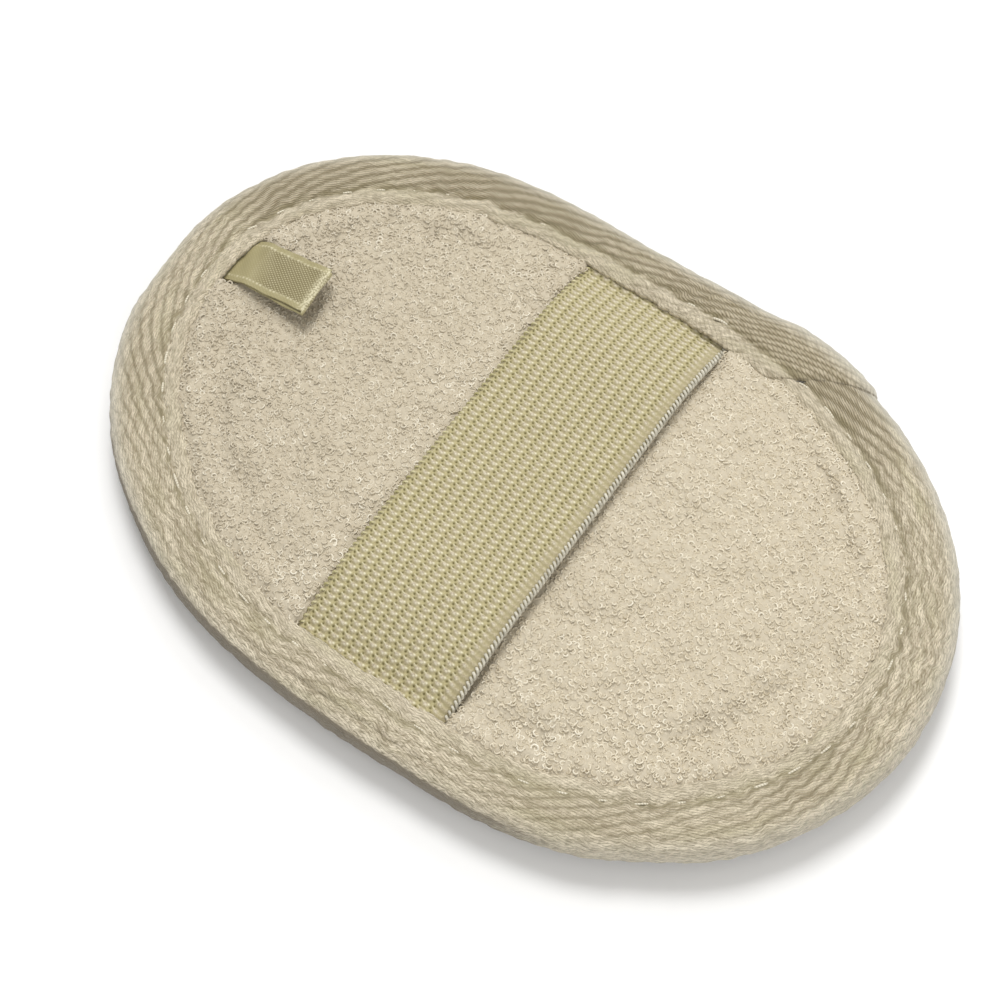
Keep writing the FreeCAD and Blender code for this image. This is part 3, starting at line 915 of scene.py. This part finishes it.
def lap_lift(degrees_left):
    """How far the tape stands off its own start near its turned-over end."""
    return LAP_LIFT * smooth_step(LAP_OVERLAP + LAP_RAMP - degrees_left, 0, LAP_RAMP)


def tail_bulge(x, y):
    """How much the tape is raised where the strap's and the ribbon's ends lie under it."""
    across, _ = to_strap(x, y)
    strap = within(across, STRAP_WIDTH / 2 - 1.0, STRAP_WIDTH / 2 + 2.0)
    near, far = (corner.y / MM for corner in RIBBON_BOXES[0])
    half = (far - near) / 2
    ribbon = within(y - (near + far) / 2, half - 0.5, half + 1.5) * (x < 0)
    return np.maximum(strap * 0.45, ribbon * 0.35)


def uneven_rim(degrees):
    """How far the rim lies inside the true oval, in mm, by the angle round it."""
    inside = 1.1 * bump_at(degrees, 176.0, 12.0) + 0.9 * bump_at(degrees, 237.0, 15.0)
    inside = inside + 0.5 * bump_at(degrees, 312.0, 9.0) + 0.45 * bump_at(degrees, 99.0, 17.0)
    return inside - 0.8 * bump_at(degrees, 66.0, 10.0) - 0.5 * bump_at(degrees, 271.0, 12.0)


def rim_profile(count, power):
    """The fold in section for a rim of unit radius: how far out, how high, and its normal."""
    angle = np.linspace(0, math.pi, 2001)
    out = np.sin(angle) ** power
    high = signed_power(np.cos(angle), power)
    run = run_along(np.stack([out, high], -1))
    share = np.linspace(0, 1, count, endpoint=False) * run[-1]
    out, high = np.interp(share, run, out), np.interp(share, run, high)
    slope_out, slope_high = np.gradient(out), np.gradient(high)
    size = np.hypot(slope_out, slope_high)
    return out, high, -slope_high / size, slope_out / size, run[-1]


def twill(left, degrees, run, surface, flat_up):
    """Ribs that climb outward, taut round the far side and near the lap, loose elsewhere.

    Gives the relief, the phases of the ribs and of their floats, how ribbed the tape is, and how
    far the ribs have drifted across it.
    """
    lean = math.tan(RIB_LEAN) + 0.30 * (1 - smooth_step(left, 8.0, 30.0))
    lean = lean + 0.03 * soft_noise(run, 0, 60.0, 31)
    climb = np.diff(run, axis=0) * (lean[1:] + lean[:-1]) / 2
    drift = np.concatenate([[[0]], np.cumsum(climb, 0)])
    taut = smooth_step(degrees, 36.0, 62.0) * (1 - smooth_step(degrees, 148.0, 178.0))
    loose_ribs = 0.30 + 0.34 * bump_at(degrees, 320.0, 32.0) + 0.32 * bump_at(degrees, 200.0, 32.0)
    taut = loose_ribs + (1 - loose_ribs) * taut + 0.08 * soft_noise(run, 0, 35.0, 53)
    past_seam = smooth_step(surface, SEAM_FROM_TAPE_EDGE - 0.5, SEAM_FROM_TAPE_EDGE + 0.4)
    flattened = 1 - 0.80 * smooth_step(surface, flat_up - 1.0, flat_up + 3.5)
    ribbing = np.clip(taut * (0.35 + 0.65 * past_seam) * flattened, 0, 1)
    rib_phase = (surface - drift) / RIB_PITCH + 0.10 * soft_noise(run, surface, 16.0, 51)
    float_phase = (surface * math.cos(FLOAT_LEAN) + run * math.sin(FLOAT_LEAN)) / FLOAT_PITCH
    crest = np.abs(np.sin(math.pi * (rib_phase + 0.17)))
    crisp = smooth_step(ribbing, 0.60, 0.95)
    rib = crest ** 0.7 * crisp + (0.1 + crest ** 2) * (1 - crisp)
    strands = 0.05 * soft_noise(run * 0.22, surface - 0.9 * drift, 1.0, 55)
    uneven = 0.04 * soft_noise(run, surface * 0.6, 4.2, 54)
    proud = 0.17 * (rib - 0.6) * ribbing + strands * (1 - ribbing) + uneven
    return proud, rib_phase, float_phase, ribbing, drift


def binding_tape():
    """Folded twill tape in one strip, with ribs, a pulled-in seam, puckers and a lapped end.

    Rows run along the tape from its start to its lapped end, and columns across it, over the
    terry, round the fold and under the loofah.
    """
    travel = 360.0 + LAP_OVERLAP
    rows, upper_steps, fold_steps, lower_steps = 1010, 36, 24, 16
    columns = upper_steps + fold_steps + lower_steps
    up, fold = slice(0, upper_steps), slice(upper_steps, upper_steps + fold_steps)
    low = slice(upper_steps + fold_steps, columns)
    left = np.linspace(travel, 0.0, rows)[:, None]
    turn_row = np.radians(LAP_ANGLE + left)
    degrees = np.mod(LAP_ANGLE + left, 360.0)
    run = run_along(inset_line(turn_row[:, 0], 5.0))[:, None]

    # the rim is boxier along the front, where the pad rests on its edge
    boxy = bump_at(degrees, 252.0, 62.0)
    profiles = zip(rim_profile(fold_steps, 0.62), rim_profile(fold_steps, 0.86))
    out, high, normal_out, normal_up, fold_length = (
        sharp * boxy + soft * (1 - boxy) for sharp, soft in profiles)
    size = np.hypot(normal_out, normal_up)
    normal_out, normal_up = normal_out / size, normal_up / size

    # inset from the outline, way across the tape and height of its outer face, before relief
    radius = RIM_RADIUS + 0.06 * soft_noise(run, 0, 22.0, 41) + 0.015 * soft_noise(run, 0, 6.0, 43)
    start_sink = 0.30 * smooth_step(left, travel - LAP_OVERLAP - LAP_RAMP, travel - LAP_OVERLAP)
    full = radius + lap_lift(left) - start_sink
    ragged = 0.12 * soft_noise(run, 0, 9.0, 44) + 0.10 * soft_noise(run, 0, 2.4, 45)
    single = smooth_step(np.minimum(left, travel - left), LAP_OVERLAP, LAP_OVERLAP + 10.0)
    width_up = upper_width(turn_row) + ragged * single
    width_low = lower_width(turn_row) + 0.25 * soft_noise(run, 0, 8.0, 46)
    flat_up, flat_low = width_up - RIM_RADIUS, width_low - RIM_RADIUS
    fold_end = flat_up + RIM_RADIUS * fold_length
    fold_share = np.linspace(0, 1, fold_steps, endpoint=False)
    edge_up = flat_up * np.linspace(0, 1, upper_steps, endpoint=False)
    edge_low = flat_low * (1 - np.linspace(0, 1, lower_steps))
    inset = np.concatenate([width_up - edge_up, RIM_RADIUS - full * out, width_low - edge_low], 1)
    surface = np.concatenate([edge_up, flat_up + RIM_RADIUS * fold_length * fold_share,
                              fold_end + flat_low - edge_low], 1)

    # the rim wanders in and out of the true oval, as a hand-guided edge does
    inset += uneven_rim(degrees) * np.clip(1 - inset / width_up, 0, 1) ** 1.4

    def profile(from_tape_edge, flat, seam):
        pull = 0.6 + 0.4 * np.cos(2 * math.pi * seam.phase(turn_row)) ** 2
        lip = 0.06 * bump_at(from_tape_edge, 1.4, 0.9) - 0.42 * bump_at(from_tape_edge, 0.0, 0.7)
        groove = 0.42 * pull * bump_at(from_tape_edge, SEAM_FROM_TAPE_EDGE, 0.65)
        swell = 0.34 * bump_at(from_tape_edge, (SEAM_FROM_TAPE_EDGE + flat) / 2 + 0.9, 3.0)
        return lip - groove + swell

    pucker = 0.08 * soft_noise(run, edge_up * 0.35, 2.6, 47) * bump_at(edge_up, 1.6, 2.4)
    height = np.concatenate([RIM_MIDDLE + full + profile(edge_up, flat_up, UPPER_SEAM) + pucker,
                             RIM_MIDDLE + full * high,
                             RIM_MIDDLE - full - profile(edge_low, flat_low, LOWER_SEAM)], 1)
    proud, rib_phase, float_phase, ribbing, drift = twill(left, degrees, run, surface, flat_up)

    # lean the lap's end, then place every point, raised over the strap's and ribbon's ends
    slant = LAP_SLANT * (1 - smooth_step(left, 0.0, LAP_SLANT_REACH))
    turn = turn_row + np.radians(slant) * np.clip(inset / 11.0, 0, 1.1)
    inward = inward_normal(turn)
    flat_xy = outline(turn) + inward * inset[..., None]
    hug = 0.25 + 0.75 * smooth_step(edge_up, 0.5, 3.0)
    hug = hug * (1 - 0.4 * smooth_step(edge_up, 4.0, 8.0))
    height[:, up] += tail_bulge(flat_xy[:, up, 0], flat_xy[:, up, 1]) * hug
    outward_xy, outward_z = np.zeros((2, rows, columns))
    outward_z[:, up], outward_z[:, low] = 1.0, -1.0
    outward_xy[:, fold], outward_z[:, fold] = normal_out, normal_up

    def face(part, offset):
        """Points of the tape pushed out by offset along their own normals."""
        xy = flat_xy[:, part] - inward[:, part] * (outward_xy[:, part] * offset)[..., None]
        return np.dstack([xy, height[:, part] + outward_z[:, part] * offset])

    # the inner face is plain, with fewer columns, a thickness inside the outer one
    picks = np.concatenate([np.linspace(0, upper_steps - 1, 4),
                            upper_steps + np.linspace(0, fold_steps - 1, 6),
                            upper_steps + fold_steps + np.linspace(1, lower_steps - 1, 4)])
    picks = picks.astype(int)[::-1]
    rim = np.concatenate([face(slice(None), proud), face(picks, -TAPE_THICKNESS)], 1)

    # the tape's raw end is turned under, so its last rows round down onto the layer below
    sunk = 0.98 * (1 - np.sqrt(np.clip(left / 1.5, 0, 1)))
    rim[:, :columns, 2] -= sunk * outward_z
    rim[:, :columns, :2] += inward * (sunk * outward_xy)[..., None]
    loop = columns + len(picks)
    quads = grid_faces(rows, loop, wrap_columns=True)[:, ::-1]
    piece = new_object("binding", rim.reshape(-1, 3), [quads, ring_ends(rows, loop)],
                       MATERIALS["binding"])

    def paint_all(label, *parts):
        """Paints both faces of the tape: the inner one takes the colours of the outer."""
        values = np.stack([np.broadcast_to(part, (rows, columns)) for part in parts], -1)
        values = np.concatenate([values, values[:, picks]], 1).reshape(-1, len(parts))
        paint(piece, label, values if len(parts) == 3 else values.ravel())

    # strength of the painted sheen on the outer fold, round the rim
    cool = 0.6 + 0.6 * bump_at(degrees, 70.0, 60.0) + 0.35 * bump_at(degrees, 200.0, 38.0)
    cool = cool - 0.35 * bump_at(degrees, 272.0, 40.0)
    # painted shade: darker on the rim's lower, down-facing side along the front, and over the whole loofah
    # side
    below = smooth_step(surface, flat_up + 1.7, flat_up + 3.4) * bump_at(degrees, 252.0, 46.0)
    below = below + 0.6 * smooth_step(surface, flat_up + 6.0, flat_up + 8.0)
    paint_all("weave", run, surface - 0.22 * drift, 0 * run)
    paint_all("phases", rib_phase, float_phase, ribbing)
    paint_all("marks", bump_at(surface, SEAM_FROM_TAPE_EDGE + 0.35, 0.55),
              smooth_step(surface, flat_up - 0.8, flat_up + 3.0) * cool,
              1 - smooth_step(surface, SEAM_FROM_TAPE_EDGE - 1.2, SEAM_FROM_TAPE_EDGE))
    # painted shade is also laid on the last rows of the turned end
    paint_all("under", below + 0.52 * bump_at(left, 0.25, 0.35))
    return piece


def seam_thread(name, seam, width, side):
    """One row of stitches: each sinks at its needle holes and stands proud between them."""
    steps = 15
    turn = seam.places(steps)
    share = np.linspace(-0.5, 0.5, steps)[None, :] + 0 * turn
    inset = width(turn) - SEAM_FROM_TAPE_EDGE
    rng = np.random.default_rng(61)
    angle = rng.normal(0, 0.06, (len(turn), 1)) * share * seam.pitch
    flat = inset_line(turn, inset + angle)
    left = np.mod(np.degrees(turn) - LAP_ANGLE - 0.85 * LAP_SLANT, 360.0)
    lift = np.where(left < LAP_OVERLAP + LAP_RAMP, lap_lift(left), 0.0)
    sunk = 0.22 * np.clip(np.sin(turn), 0, 1) + rng.uniform(0.0, 0.16, (len(turn), 1))
    proud = 0.52 * np.cos(math.pi * np.clip(share * 1.6, -0.5, 0.5)) - 0.72 - sunk
    top = RIM_RADIUS + lift + proud
    if side > 0:
        top = top + tail_bulge(flat[..., 0], flat[..., 1])
    lines = np.concatenate([flat, (RIM_MIDDLE + side * top)[..., None]], -1)
    radii = np.full(turn.shape, THREAD_RADIUS) * rng.uniform(0.8, 1.2, (len(turn), 1))
    sides = 8
    points, quads, caps = tubes(lines, radii, UP, sides)
    piece = new_object(name, points, [quads, caps], MATERIALS["thread"])
    weave = np.zeros((len(turn), steps, sides, 3))
    weave[..., 0] = (share * seam.pitch)[..., None]
    weave[..., 1] = (2 * math.pi * np.arange(sides) / sides)[None, None, :]
    paint(piece, "weave", weave.reshape(-1, 3))
    return piece


# ---------------------------------------------------------------- elastic strap
def wrapped(value, centre):
    """Distance from the nearest repeat of centre, the pattern repeating each unit."""
    return np.mod(value - centre + 0.5, 1.0) - 0.5


def knit(across, along):
    """Relief and colours of the knitted elastic at points across and along it, in mm."""
    a = KNIT_COLUMNS_PER_MM * across
    rng = np.random.default_rng(71)
    jitter = rng.normal(0, 0.035, 64)[np.clip(np.floor(a + 0.55) + 32, 0, 63).astype(int)]
    b = KNIT_COURSES_PER_MM * along + KNIT_SLANT * across + jitter

    def spot(centre_a, centre_b, wide, long):
        return np.exp(-(wrapped(a, centre_a) / wide) ** 2 - (wrapped(b, centre_b) / long) ** 2)

    lump = np.clip(spot(0.95, 0.92, 0.25, 0.31) * 1.15, 0, 1)
    # masks of painted shade in the valleys and needle holes
    valley = spot(0.97, 0.40, 0.24, 0.12)
    hole = spot(0.45, 0.85, 0.10, 0.155) + 0.9 * spot(0.65, 0.37, 0.09, 0.135)
    hole = np.clip(1.3 * hole, 0, 1)
    slanted = wrapped(b, 0.2) + 0.47 * wrapped(a, 0.5)
    dash = np.exp(-(slanted / 0.10) ** 2) * smooth_step(0.19 - np.abs(wrapped(a, 0.66)), 0.0, 0.08)
    # painted highlight: small glints on the lumps and along the slanted dashes
    glint = spot(0.20, 0.10, 0.09, 0.13) + 0.5 * dash + 0.7 * spot(0.0, 0.80, 0.10, 0.12)
    glint = np.clip(glint, 0, 1)
    yarn = bump_at(wrapped(a, 0.52), 0.0, 0.22) * (0.6 + 0.4 * np.cos(2 * math.pi * (b - 0.15)))
    relief = 0.22 * lump + 0.14 * yarn + 0.10 * glint - 0.20 * hole - 0.06 * valley
    return relief, lump, hole, glint, valley


def strap_tilt(side, across, along):
    """How much the strap leans up to its right edge, less towards its sewn end."""
    lean = STRAP_TILT * np.clip(across / STRAP_WIDTH * 2, -1, 1)
    return lean * smooth_step(REACH[side] - np.abs(along), 0, STRAP_TILT_REACH)


def strap_half(side):
    """Half of the strap, from its middle to its sewn end, with both edges overlocked."""
    end = REACH[side] + STRAP_TAIL_LENGTH
    rows, columns, under_columns = 378, 227, 16
    along = side * np.linspace(0.0, end, rows)
    across = np.linspace(-STRAP_WIDTH / 2, STRAP_WIDTH / 2, columns)
    grid_v, grid_u = np.meshgrid(along, across, indexing="ij")
    relief, lump, hole, glint, valley = knit(grid_u, grid_v)
    rungs = smooth_step(grid_u, STRAP_WIDTH / 2 - 2.2, STRAP_WIDTH / 2 - 1.6)
    rung = 0.5 + 0.5 * np.cos(2 * math.pi * (KNIT_COURSES_PER_MM * grid_v + 0.9))
    # at the right edge the knit turns into rungs, with painted shade between them
    lump, hole, glint, valley, relief = (
        value * (1 - rungs) + at_edge * rungs for value, at_edge in
        ((lump, 0.55 * rung), (hole, 0), (glint, 0), (valley, 0.55 * (1 - rung)),
         (relief, 0.14 * rung)))
    shown = within(grid_v, REACH[side] - 0.5, REACH[side] + 1.5)
    edge = smooth_step(STRAP_WIDTH / 2 - np.abs(grid_u), 0.0, 0.9)
    wave = STRAP_WAVE * soft_noise(grid_u, grid_v, STRAP_WAVE_LENGTH, 73) * shown
    middle = strap_height(grid_v) + strap_tilt(side, grid_u, grid_v) + wave
    relief = relief * edge * (0.25 + 0.75 * shown) - 0.30 * (1 - edge)
    top = middle + STRAP_THICKNESS / 2 - 0.12 + relief
    under_u = np.linspace(STRAP_WIDTH / 2, -STRAP_WIDTH / 2, under_columns)
    low_v, low_u = np.meshgrid(along, under_u, indexing="ij")
    low_wave = STRAP_WAVE * soft_noise(low_u, low_v, STRAP_WAVE_LENGTH, 73)
    low_wave = low_wave * within(low_v, REACH[side] - 1, REACH[side] + 1)
    low_ribs = 0.08 * np.cos(2 * math.pi * low_u / 2.13)
    low_z = strap_height(low_v) + strap_tilt(side, low_u, low_v) + low_wave
    low_z = low_z - STRAP_THICKNESS / 2 + low_ribs
    band = np.concatenate([np.stack([*from_strap(grid_u, grid_v), top], -1),
                           np.stack([*from_strap(low_u, low_v), low_z], -1)], 1)
    loop = columns + under_columns
    order = 1 if side > 0 else -1
    quads = grid_faces(rows, loop, wrap_columns=True)[:, ::-1][:, ::order]
    caps = ring_ends(rows, loop)[:, ::order]
    name = "strap_front_half" if side < 0 else "strap_rear_half"
    piece = new_object(name, band.reshape(-1, 3), [quads, caps], MATERIALS["elastic"])
    # the underside takes a little painted shade through its valley value of 0.2
    for label, top_values, low_value in (("lump", lump, 0.5), ("hole", hole, 0.0),
                                         ("glint", glint, 0.0), ("valley", valley, 0.2)):
        values = np.full((rows, loop), low_value)
        values[:, :columns] = top_values
        paint(piece, label, values.ravel())
    return piece


def strap_selvedge(half, edge):
    """Yarn that turns round one edge of half the strap: a cord of slanted beads or small picots."""
    corded = edge > 0
    course = 0.86 if corded else 1.176
    end = REACH[half] + 1.5
    count = int(end / course)
    centre = (np.arange(count) + 0.5) * course
    steps = 10
    sweep = np.linspace(-0.75, 0.75, steps)[None, :] * math.pi
    slant = 0.62 if corded else 0.25
    along = half * (centre[:, None] + half * slant * course * np.linspace(-1, 1, steps)[None, :])
    reach = 0.40 if corded else 0.34
    middle = STRAP_WIDTH / 2 - (0.12 if corded else 0.25)
    across = edge * (middle + reach * np.cos(sweep)) + 0 * along
    height = strap_height(along) + strap_tilt(half, edge * STRAP_WIDTH / 2, along)
    height = height + (0.46 if corded else 0.40) * np.sin(sweep) + 0.05
    lines = np.stack([*from_strap(across, along), height], -1)
    rng = np.random.default_rng(81 + half + 2 * edge)
    radii = np.full((count, steps), 0.26 if corded else 0.20) * rng.uniform(0.92, 1.08, (count, 1))
    points, quads, caps = tubes(lines, radii, (0.15, 1.0, 0.1), 7)
    name = f"selvedge_{'front' if half < 0 else 'rear'}_{'left' if edge < 0 else 'right'}"
    return new_object(name, points, [quads, caps], MATERIALS["selvedge" if corded else "picot"])


# ---------------------------------------------------------------- hanging loop
def ribbon_loop():
    """Ribbon folded double: out from under the tape, up over its bend, to the fold and back."""
    fold, gap = 0.25, 0.16
    steps, fold_steps, columns = 150, 16, 84
    x = np.linspace(RIBBON_START, RIBBON_TIP - fold, steps)
    z = ribbon_height(x)
    slope = np.gradient(z, x)
    up_x, up_z = -slope / np.hypot(1, slope), 1 / np.hypot(1, slope)
    share = (x - RIBBON_START) / (x[-1] - RIBBON_START)
    opening = gap + (fold - gap) * smooth_step(share, 0.4, 1.0)
    upper = np.stack([x + up_x * opening, z + up_z * opening], -1)
    lower = np.stack([x - up_x * opening, z - up_z * opening], -1)
    angle = np.linspace(math.pi / 2, -math.pi / 2, fold_steps + 2)[1:-1]
    ahead = np.array([up_z[-1], -up_x[-1]])
    above = np.array([up_x[-1], up_z[-1]])
    tip = np.array([x[-1], z[-1]])
    arc = tip + fold * (np.cos(angle)[:, None] * ahead + np.sin(angle)[:, None] * above)
    path = np.concatenate([upper, arc, lower[::-1]])
    run = run_along(path)
    tangent = np.gradient(path, axis=0)
    tangent /= np.linalg.norm(tangent, axis=1, keepdims=True)
    out = np.stack([-tangent[:, 1], tangent[:, 0]], -1)
    path_x, path_z = path.T[..., None]
    out_x, out_z = out.T[..., None]
    rows = len(path)
    across = np.linspace(-RIBBON_WIDTH / 2, RIBBON_WIDTH / 2, columns)
    run_grid, across_grid = np.meshgrid(run, across, indexing="ij")
    selvedge = bump_at(np.abs(across_grid), RIBBON_WIDTH / 2 - 1.1, 0.20)
    broken = smooth_step(soft_noise(run_grid, 3 * np.sign(across_grid), 1.5, 95), -0.6, 0.6)
    dashes = (0.5 + 0.5 * np.cos(2 * math.pi * run_grid / RIBBON_DOT_PITCH)) ** 0.7
    selvedge = selvedge * dashes * (0.35 + 0.65 * broken)
    proud = 0.05 * selvedge + 0.05 * soft_noise(run_grid, across_grid, 5.0, 91)
    on_top = (np.arange(rows) < steps)[:, None]
    skewed = 0.45 * (1 - 2 * on_top) * smooth_step(path_x, HINGE_X, RIBBON_TIP)
    droop = -0.12 * (np.abs(across_grid) / (RIBBON_WIDTH / 2)) ** 3
    half_thick = 0.13
    sheets = []
    for sign in (1, -1):
        lift = sign * half_thick + (proud if sign > 0 else 0 * proud)
        px = path_x + out_x * lift
        pz = path_z + out_z * lift + droop
        px = px - 0.05 * across_grid * smooth_step(px, HINGE_X, RIBBON_TIP)
        py = RIBBON_MIDDLE + across_grid * (1 + 0.012 * np.sin(run_grid * 0.9)) - skewed * 0.6
        py = py - 0.065 * np.maximum(px - HINGE_X, 0)
        sheets.append(np.stack([px, py, pz], -1))
    band = np.concatenate([sheets[0], sheets[1][:, ::-1]], 1)
    loop_columns = 2 * columns
    quads = grid_faces(rows, loop_columns, wrap_columns=True)
    piece = new_object("hanging_ribbon", band.reshape(-1, 3),
                       [quads, ring_ends(rows, loop_columns)], MATERIALS["ribbon"])
    root = 1 - smooth_step(path_x + 0.35 * across_grid, HINGE_X - 1.0, HINGE_X + 5.0)
    border = smooth_step(np.abs(across_grid), RIBBON_WIDTH / 2 - 1.4, RIBBON_WIDTH / 2 - 1.0)
    smooth = np.maximum(root, border)
    one = np.stack([run_grid, across_grid, smooth], -1)
    paint(piece, "weave", np.concatenate([one, one[:, ::-1]], 1).reshape(-1, 3))
    # painted highlight: a glittering band along the fold at the tip, carried in the selvedge attribute with
    # the real selvedge threads
    glitter = soft_noise(run_grid, across_grid, 0.7, 93) > 0.1
    painted_tip_glint = bump_at(run, run[len(run) // 2] - 0.7, 0.9)[:, None] * (0.25 + 0.75 * glitter)
    edge = np.zeros((rows, loop_columns))
    edge[:, :columns] = np.clip(np.maximum(selvedge * 0.85, painted_tip_glint), 0, 1)
    paint(piece, "selvedge", edge.ravel())
    return piece


# ---------------------------------------------------------------- loofah side
def loofah_height(depth):
    """Lowest face of the loofah by distance inside the lower tape's edge."""
    return np.interp(depth, [-4, 0, 3, 8, 15, 24], [4.3, 4.1, 2.6, 1.2, 0.35, 0.12])


def loofah_base():
    """Dense mat behind the fibres: a closed, pitted sheet."""
    grid_x, grid_y = lattice(76.5, 52.2, 0.9)
    depth = inside_by(grid_x, grid_y, LOWER_EDGE)
    pits = np.abs(soft_noise(grid_x * 0.6, grid_y, 5.5, 101))
    pits = pits + 0.5 * np.abs(soft_noise(grid_x, grid_y, 2.4, 102))
    pitted = 0.5 * np.clip(1.2 - pits, 0, 1.2) * smooth_step(depth, 0, 4)
    bottom = loofah_height(depth) + 0.75 + pitted
    top = np.maximum(bottom + 0.3, 5.2 - 0.4 * smooth_step(depth, 0, 20))
    return closed_sheet("loofah_mat", grid_x, grid_y, bottom, top, depth > -3.5, MATERIALS["mat"],
                        downward=True)


def loofah_fibres():
    """Net of long curving fibres over the mat, mostly lengthwise, with a cross layer."""
    pieces = []
    steps, sides = 14, 5
    even = np.linspace(0, 1, steps)
    taper = 0.6 + 0.4 * np.sin(np.linspace(0.25, math.pi - 0.25, steps))
    for name, seed, count, spread, turned, layer, thick in (
            ("loofah_fibres_long", 111, 1500, 0.35, 0.0, 0.0, 0.30),
            ("loofah_fibres_cross", 112, 1300, 1.2, math.pi / 2, 0.45, 0.22)):
        rng = np.random.default_rng(seed)
        length = rng.uniform(14, 42, count)
        heading = rng.normal(0, spread, count) + turned
        bend = rng.normal(0, 0.9, (count, 1)) * np.linspace(-1, 1, steps)
        waves, shift = rng.uniform(4, 12, (count, 1)), rng.uniform(0, 6, (count, 1))
        angle = heading[:, None] + 0.6 * (bend + 0.5 * np.sin(even * waves + shift))
        step = (length / (steps - 1))[:, None]
        x, y = (rng.uniform(-half, half, count)[:, None] + np.cumsum(part(angle) * step, 1)
                - (length / 2 * part(heading))[:, None]
                for half, part in ((66, np.cos), (46, np.sin)))
        depth = inside_by(x, y, LOWER_EDGE)
        keep = depth.min(1) > -1.5
        x, y, depth = x[keep], y[keep], depth[keep]
        weave = 0.22 * soft_noise(x, y, 4.0, seed + 5)
        radii = rng.uniform(0.55, 1.2, (len(x), 1)) * thick * taper
        z = loofah_height(depth) + radii + layer + 0.18 + np.clip(weave, -0.12, 0.5)
        points, quads, caps = tubes(np.stack([x, y, z], -1), radii, UP, sides)
        piece = new_object(name, points, [quads, caps], MATERIALS["fibre"])
        paint(piece, "tone", np.repeat(rng.uniform(0.25, 1.0, len(x)), steps * sides))
        pieces.append(piece)
    return pieces


# ---------------------------------------------------------------- studio
def camera_and_light():
    """Camera at the reference view, soft daylight from above and behind, pale floor."""
    azimuth, elevation, distance = math.radians(32.7), math.radians(62.0), 0.351
    aim = Vector((-0.00087, -0.00452, 0.006))
    back = Vector((math.sin(azimuth) * math.cos(elevation), -math.cos(azimuth) * math.cos(elevation),
                   math.sin(elevation)))
    data = bpy.data.cameras.new("camera")
    data.lens, data.sensor_width = 73.5, 36.0
    data.clip_start, data.clip_end = 0.01, 10.0
    camera = bpy.data.objects.new("camera", data)
    camera.location = aim + back * distance
    camera.rotation_mode = "QUATERNION"
    camera.rotation_quaternion = (-back).to_track_quat("-Z", "Y")
    bpy.context.scene.collection.objects.link(camera)
    bpy.context.scene.camera = camera

    def area(name, place, size, power):
        light = bpy.data.lights.new(name, "AREA")
        light.shape, light.size, light.energy = "DISK", size, power
        lamp = bpy.data.objects.new(name, light)
        lamp.location = place
        lamp.rotation_mode = "QUATERNION"
        lamp.rotation_quaternion = (-Vector(place)).to_track_quat("-Z", "Y")
        bpy.context.scene.collection.objects.link(lamp)

    area("key", (-0.52, 0.60, 1.50), 0.70, 15.5)
    area("back", (-0.42, 0.92, 0.80), 0.50, 4.4)
    area("fill", (0.70, -0.40, 0.60), 0.8, 3.6)
    world = bpy.data.worlds.new("studio")
    world.use_nodes = True
    world.node_tree.nodes["Background"].inputs[0].default_value = (1.0, 0.985, 0.95, 1.0)
    world.node_tree.nodes["Background"].inputs[1].default_value = 0.50
    bpy.context.scene.world = world
    bpy.context.scene.view_settings.view_transform = "Standard"
    corners = [(-1500, -1500, 0), (1500, -1500, 0), (1500, 1500, 0), (-1500, 1500, 0)]
    floor = new_object("floor", corners, [[(0, 1, 2, 3)]], MATERIALS["floor"], smooth=False)


# ---------------------------------------------------------------- put it together
MATERIALS = {"loops": cotton_loops(), "terry": terry_ground(), "binding": binding_twill(),
             "elastic": knitted_elastic(), "selvedge": selvedge_cotton(), "picot": picot_yarn(),
             "ribbon": satin_ribbon(),
             "thread": sewing_thread(), "fibre": loofah_fibre(), "mat": loofah_tissue(),
             "foam": foam_sponge(), "floor": plain_floor()}

camera_and_light()

pad = puffed_pad()
simulate(pad)
ground = Ground(pad)
keep_under(pad, ground)
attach(pad, "root")
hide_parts("foam_core")

cloth = terry_cloth(ground)
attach(cloth, "root")
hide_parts("terry_back")
for pile in terry_loops(ground):
    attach(pile, "root")

tape = binding_tape()
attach(tape, "root")
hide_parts("binding_tape")
for name, seam, width, side, node in (("needle_thread", UPPER_SEAM, upper_width, 1, "top_stitches"),
                                      ("bobbin_thread", LOWER_SEAM, lower_width, -1, "underside_stitches")):
    thread = seam_thread(name, seam, width, side)
    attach(thread, "root")
    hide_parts(node)

for side, label in ((-1, "front"), (1, "rear")):
    start = (STRAP_CENTRE_X * MM, side * (REACH[side] - 0.5) * MM, STRAP_TAIL * MM)
    half = strap_half(side)
    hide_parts(f"strap_tail_{label}", f"strap_side_{label}", "strap_middle")
    selvedges = [strap_selvedge(side, edge) for edge in (-1, 1)]
    for piece in [half] + selvedges:
        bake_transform(piece)
    length = (REACH[side] + STRAP_TAIL_LENGTH) * MM

ribbon = ribbon_loop()
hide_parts("ribbon_tail", "hanging_loop")
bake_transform(ribbon)

mat = loofah_base()
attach(mat, "root")
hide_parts("loofah_face")
for fibres in loofah_fibres():
    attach(fibres, "root")
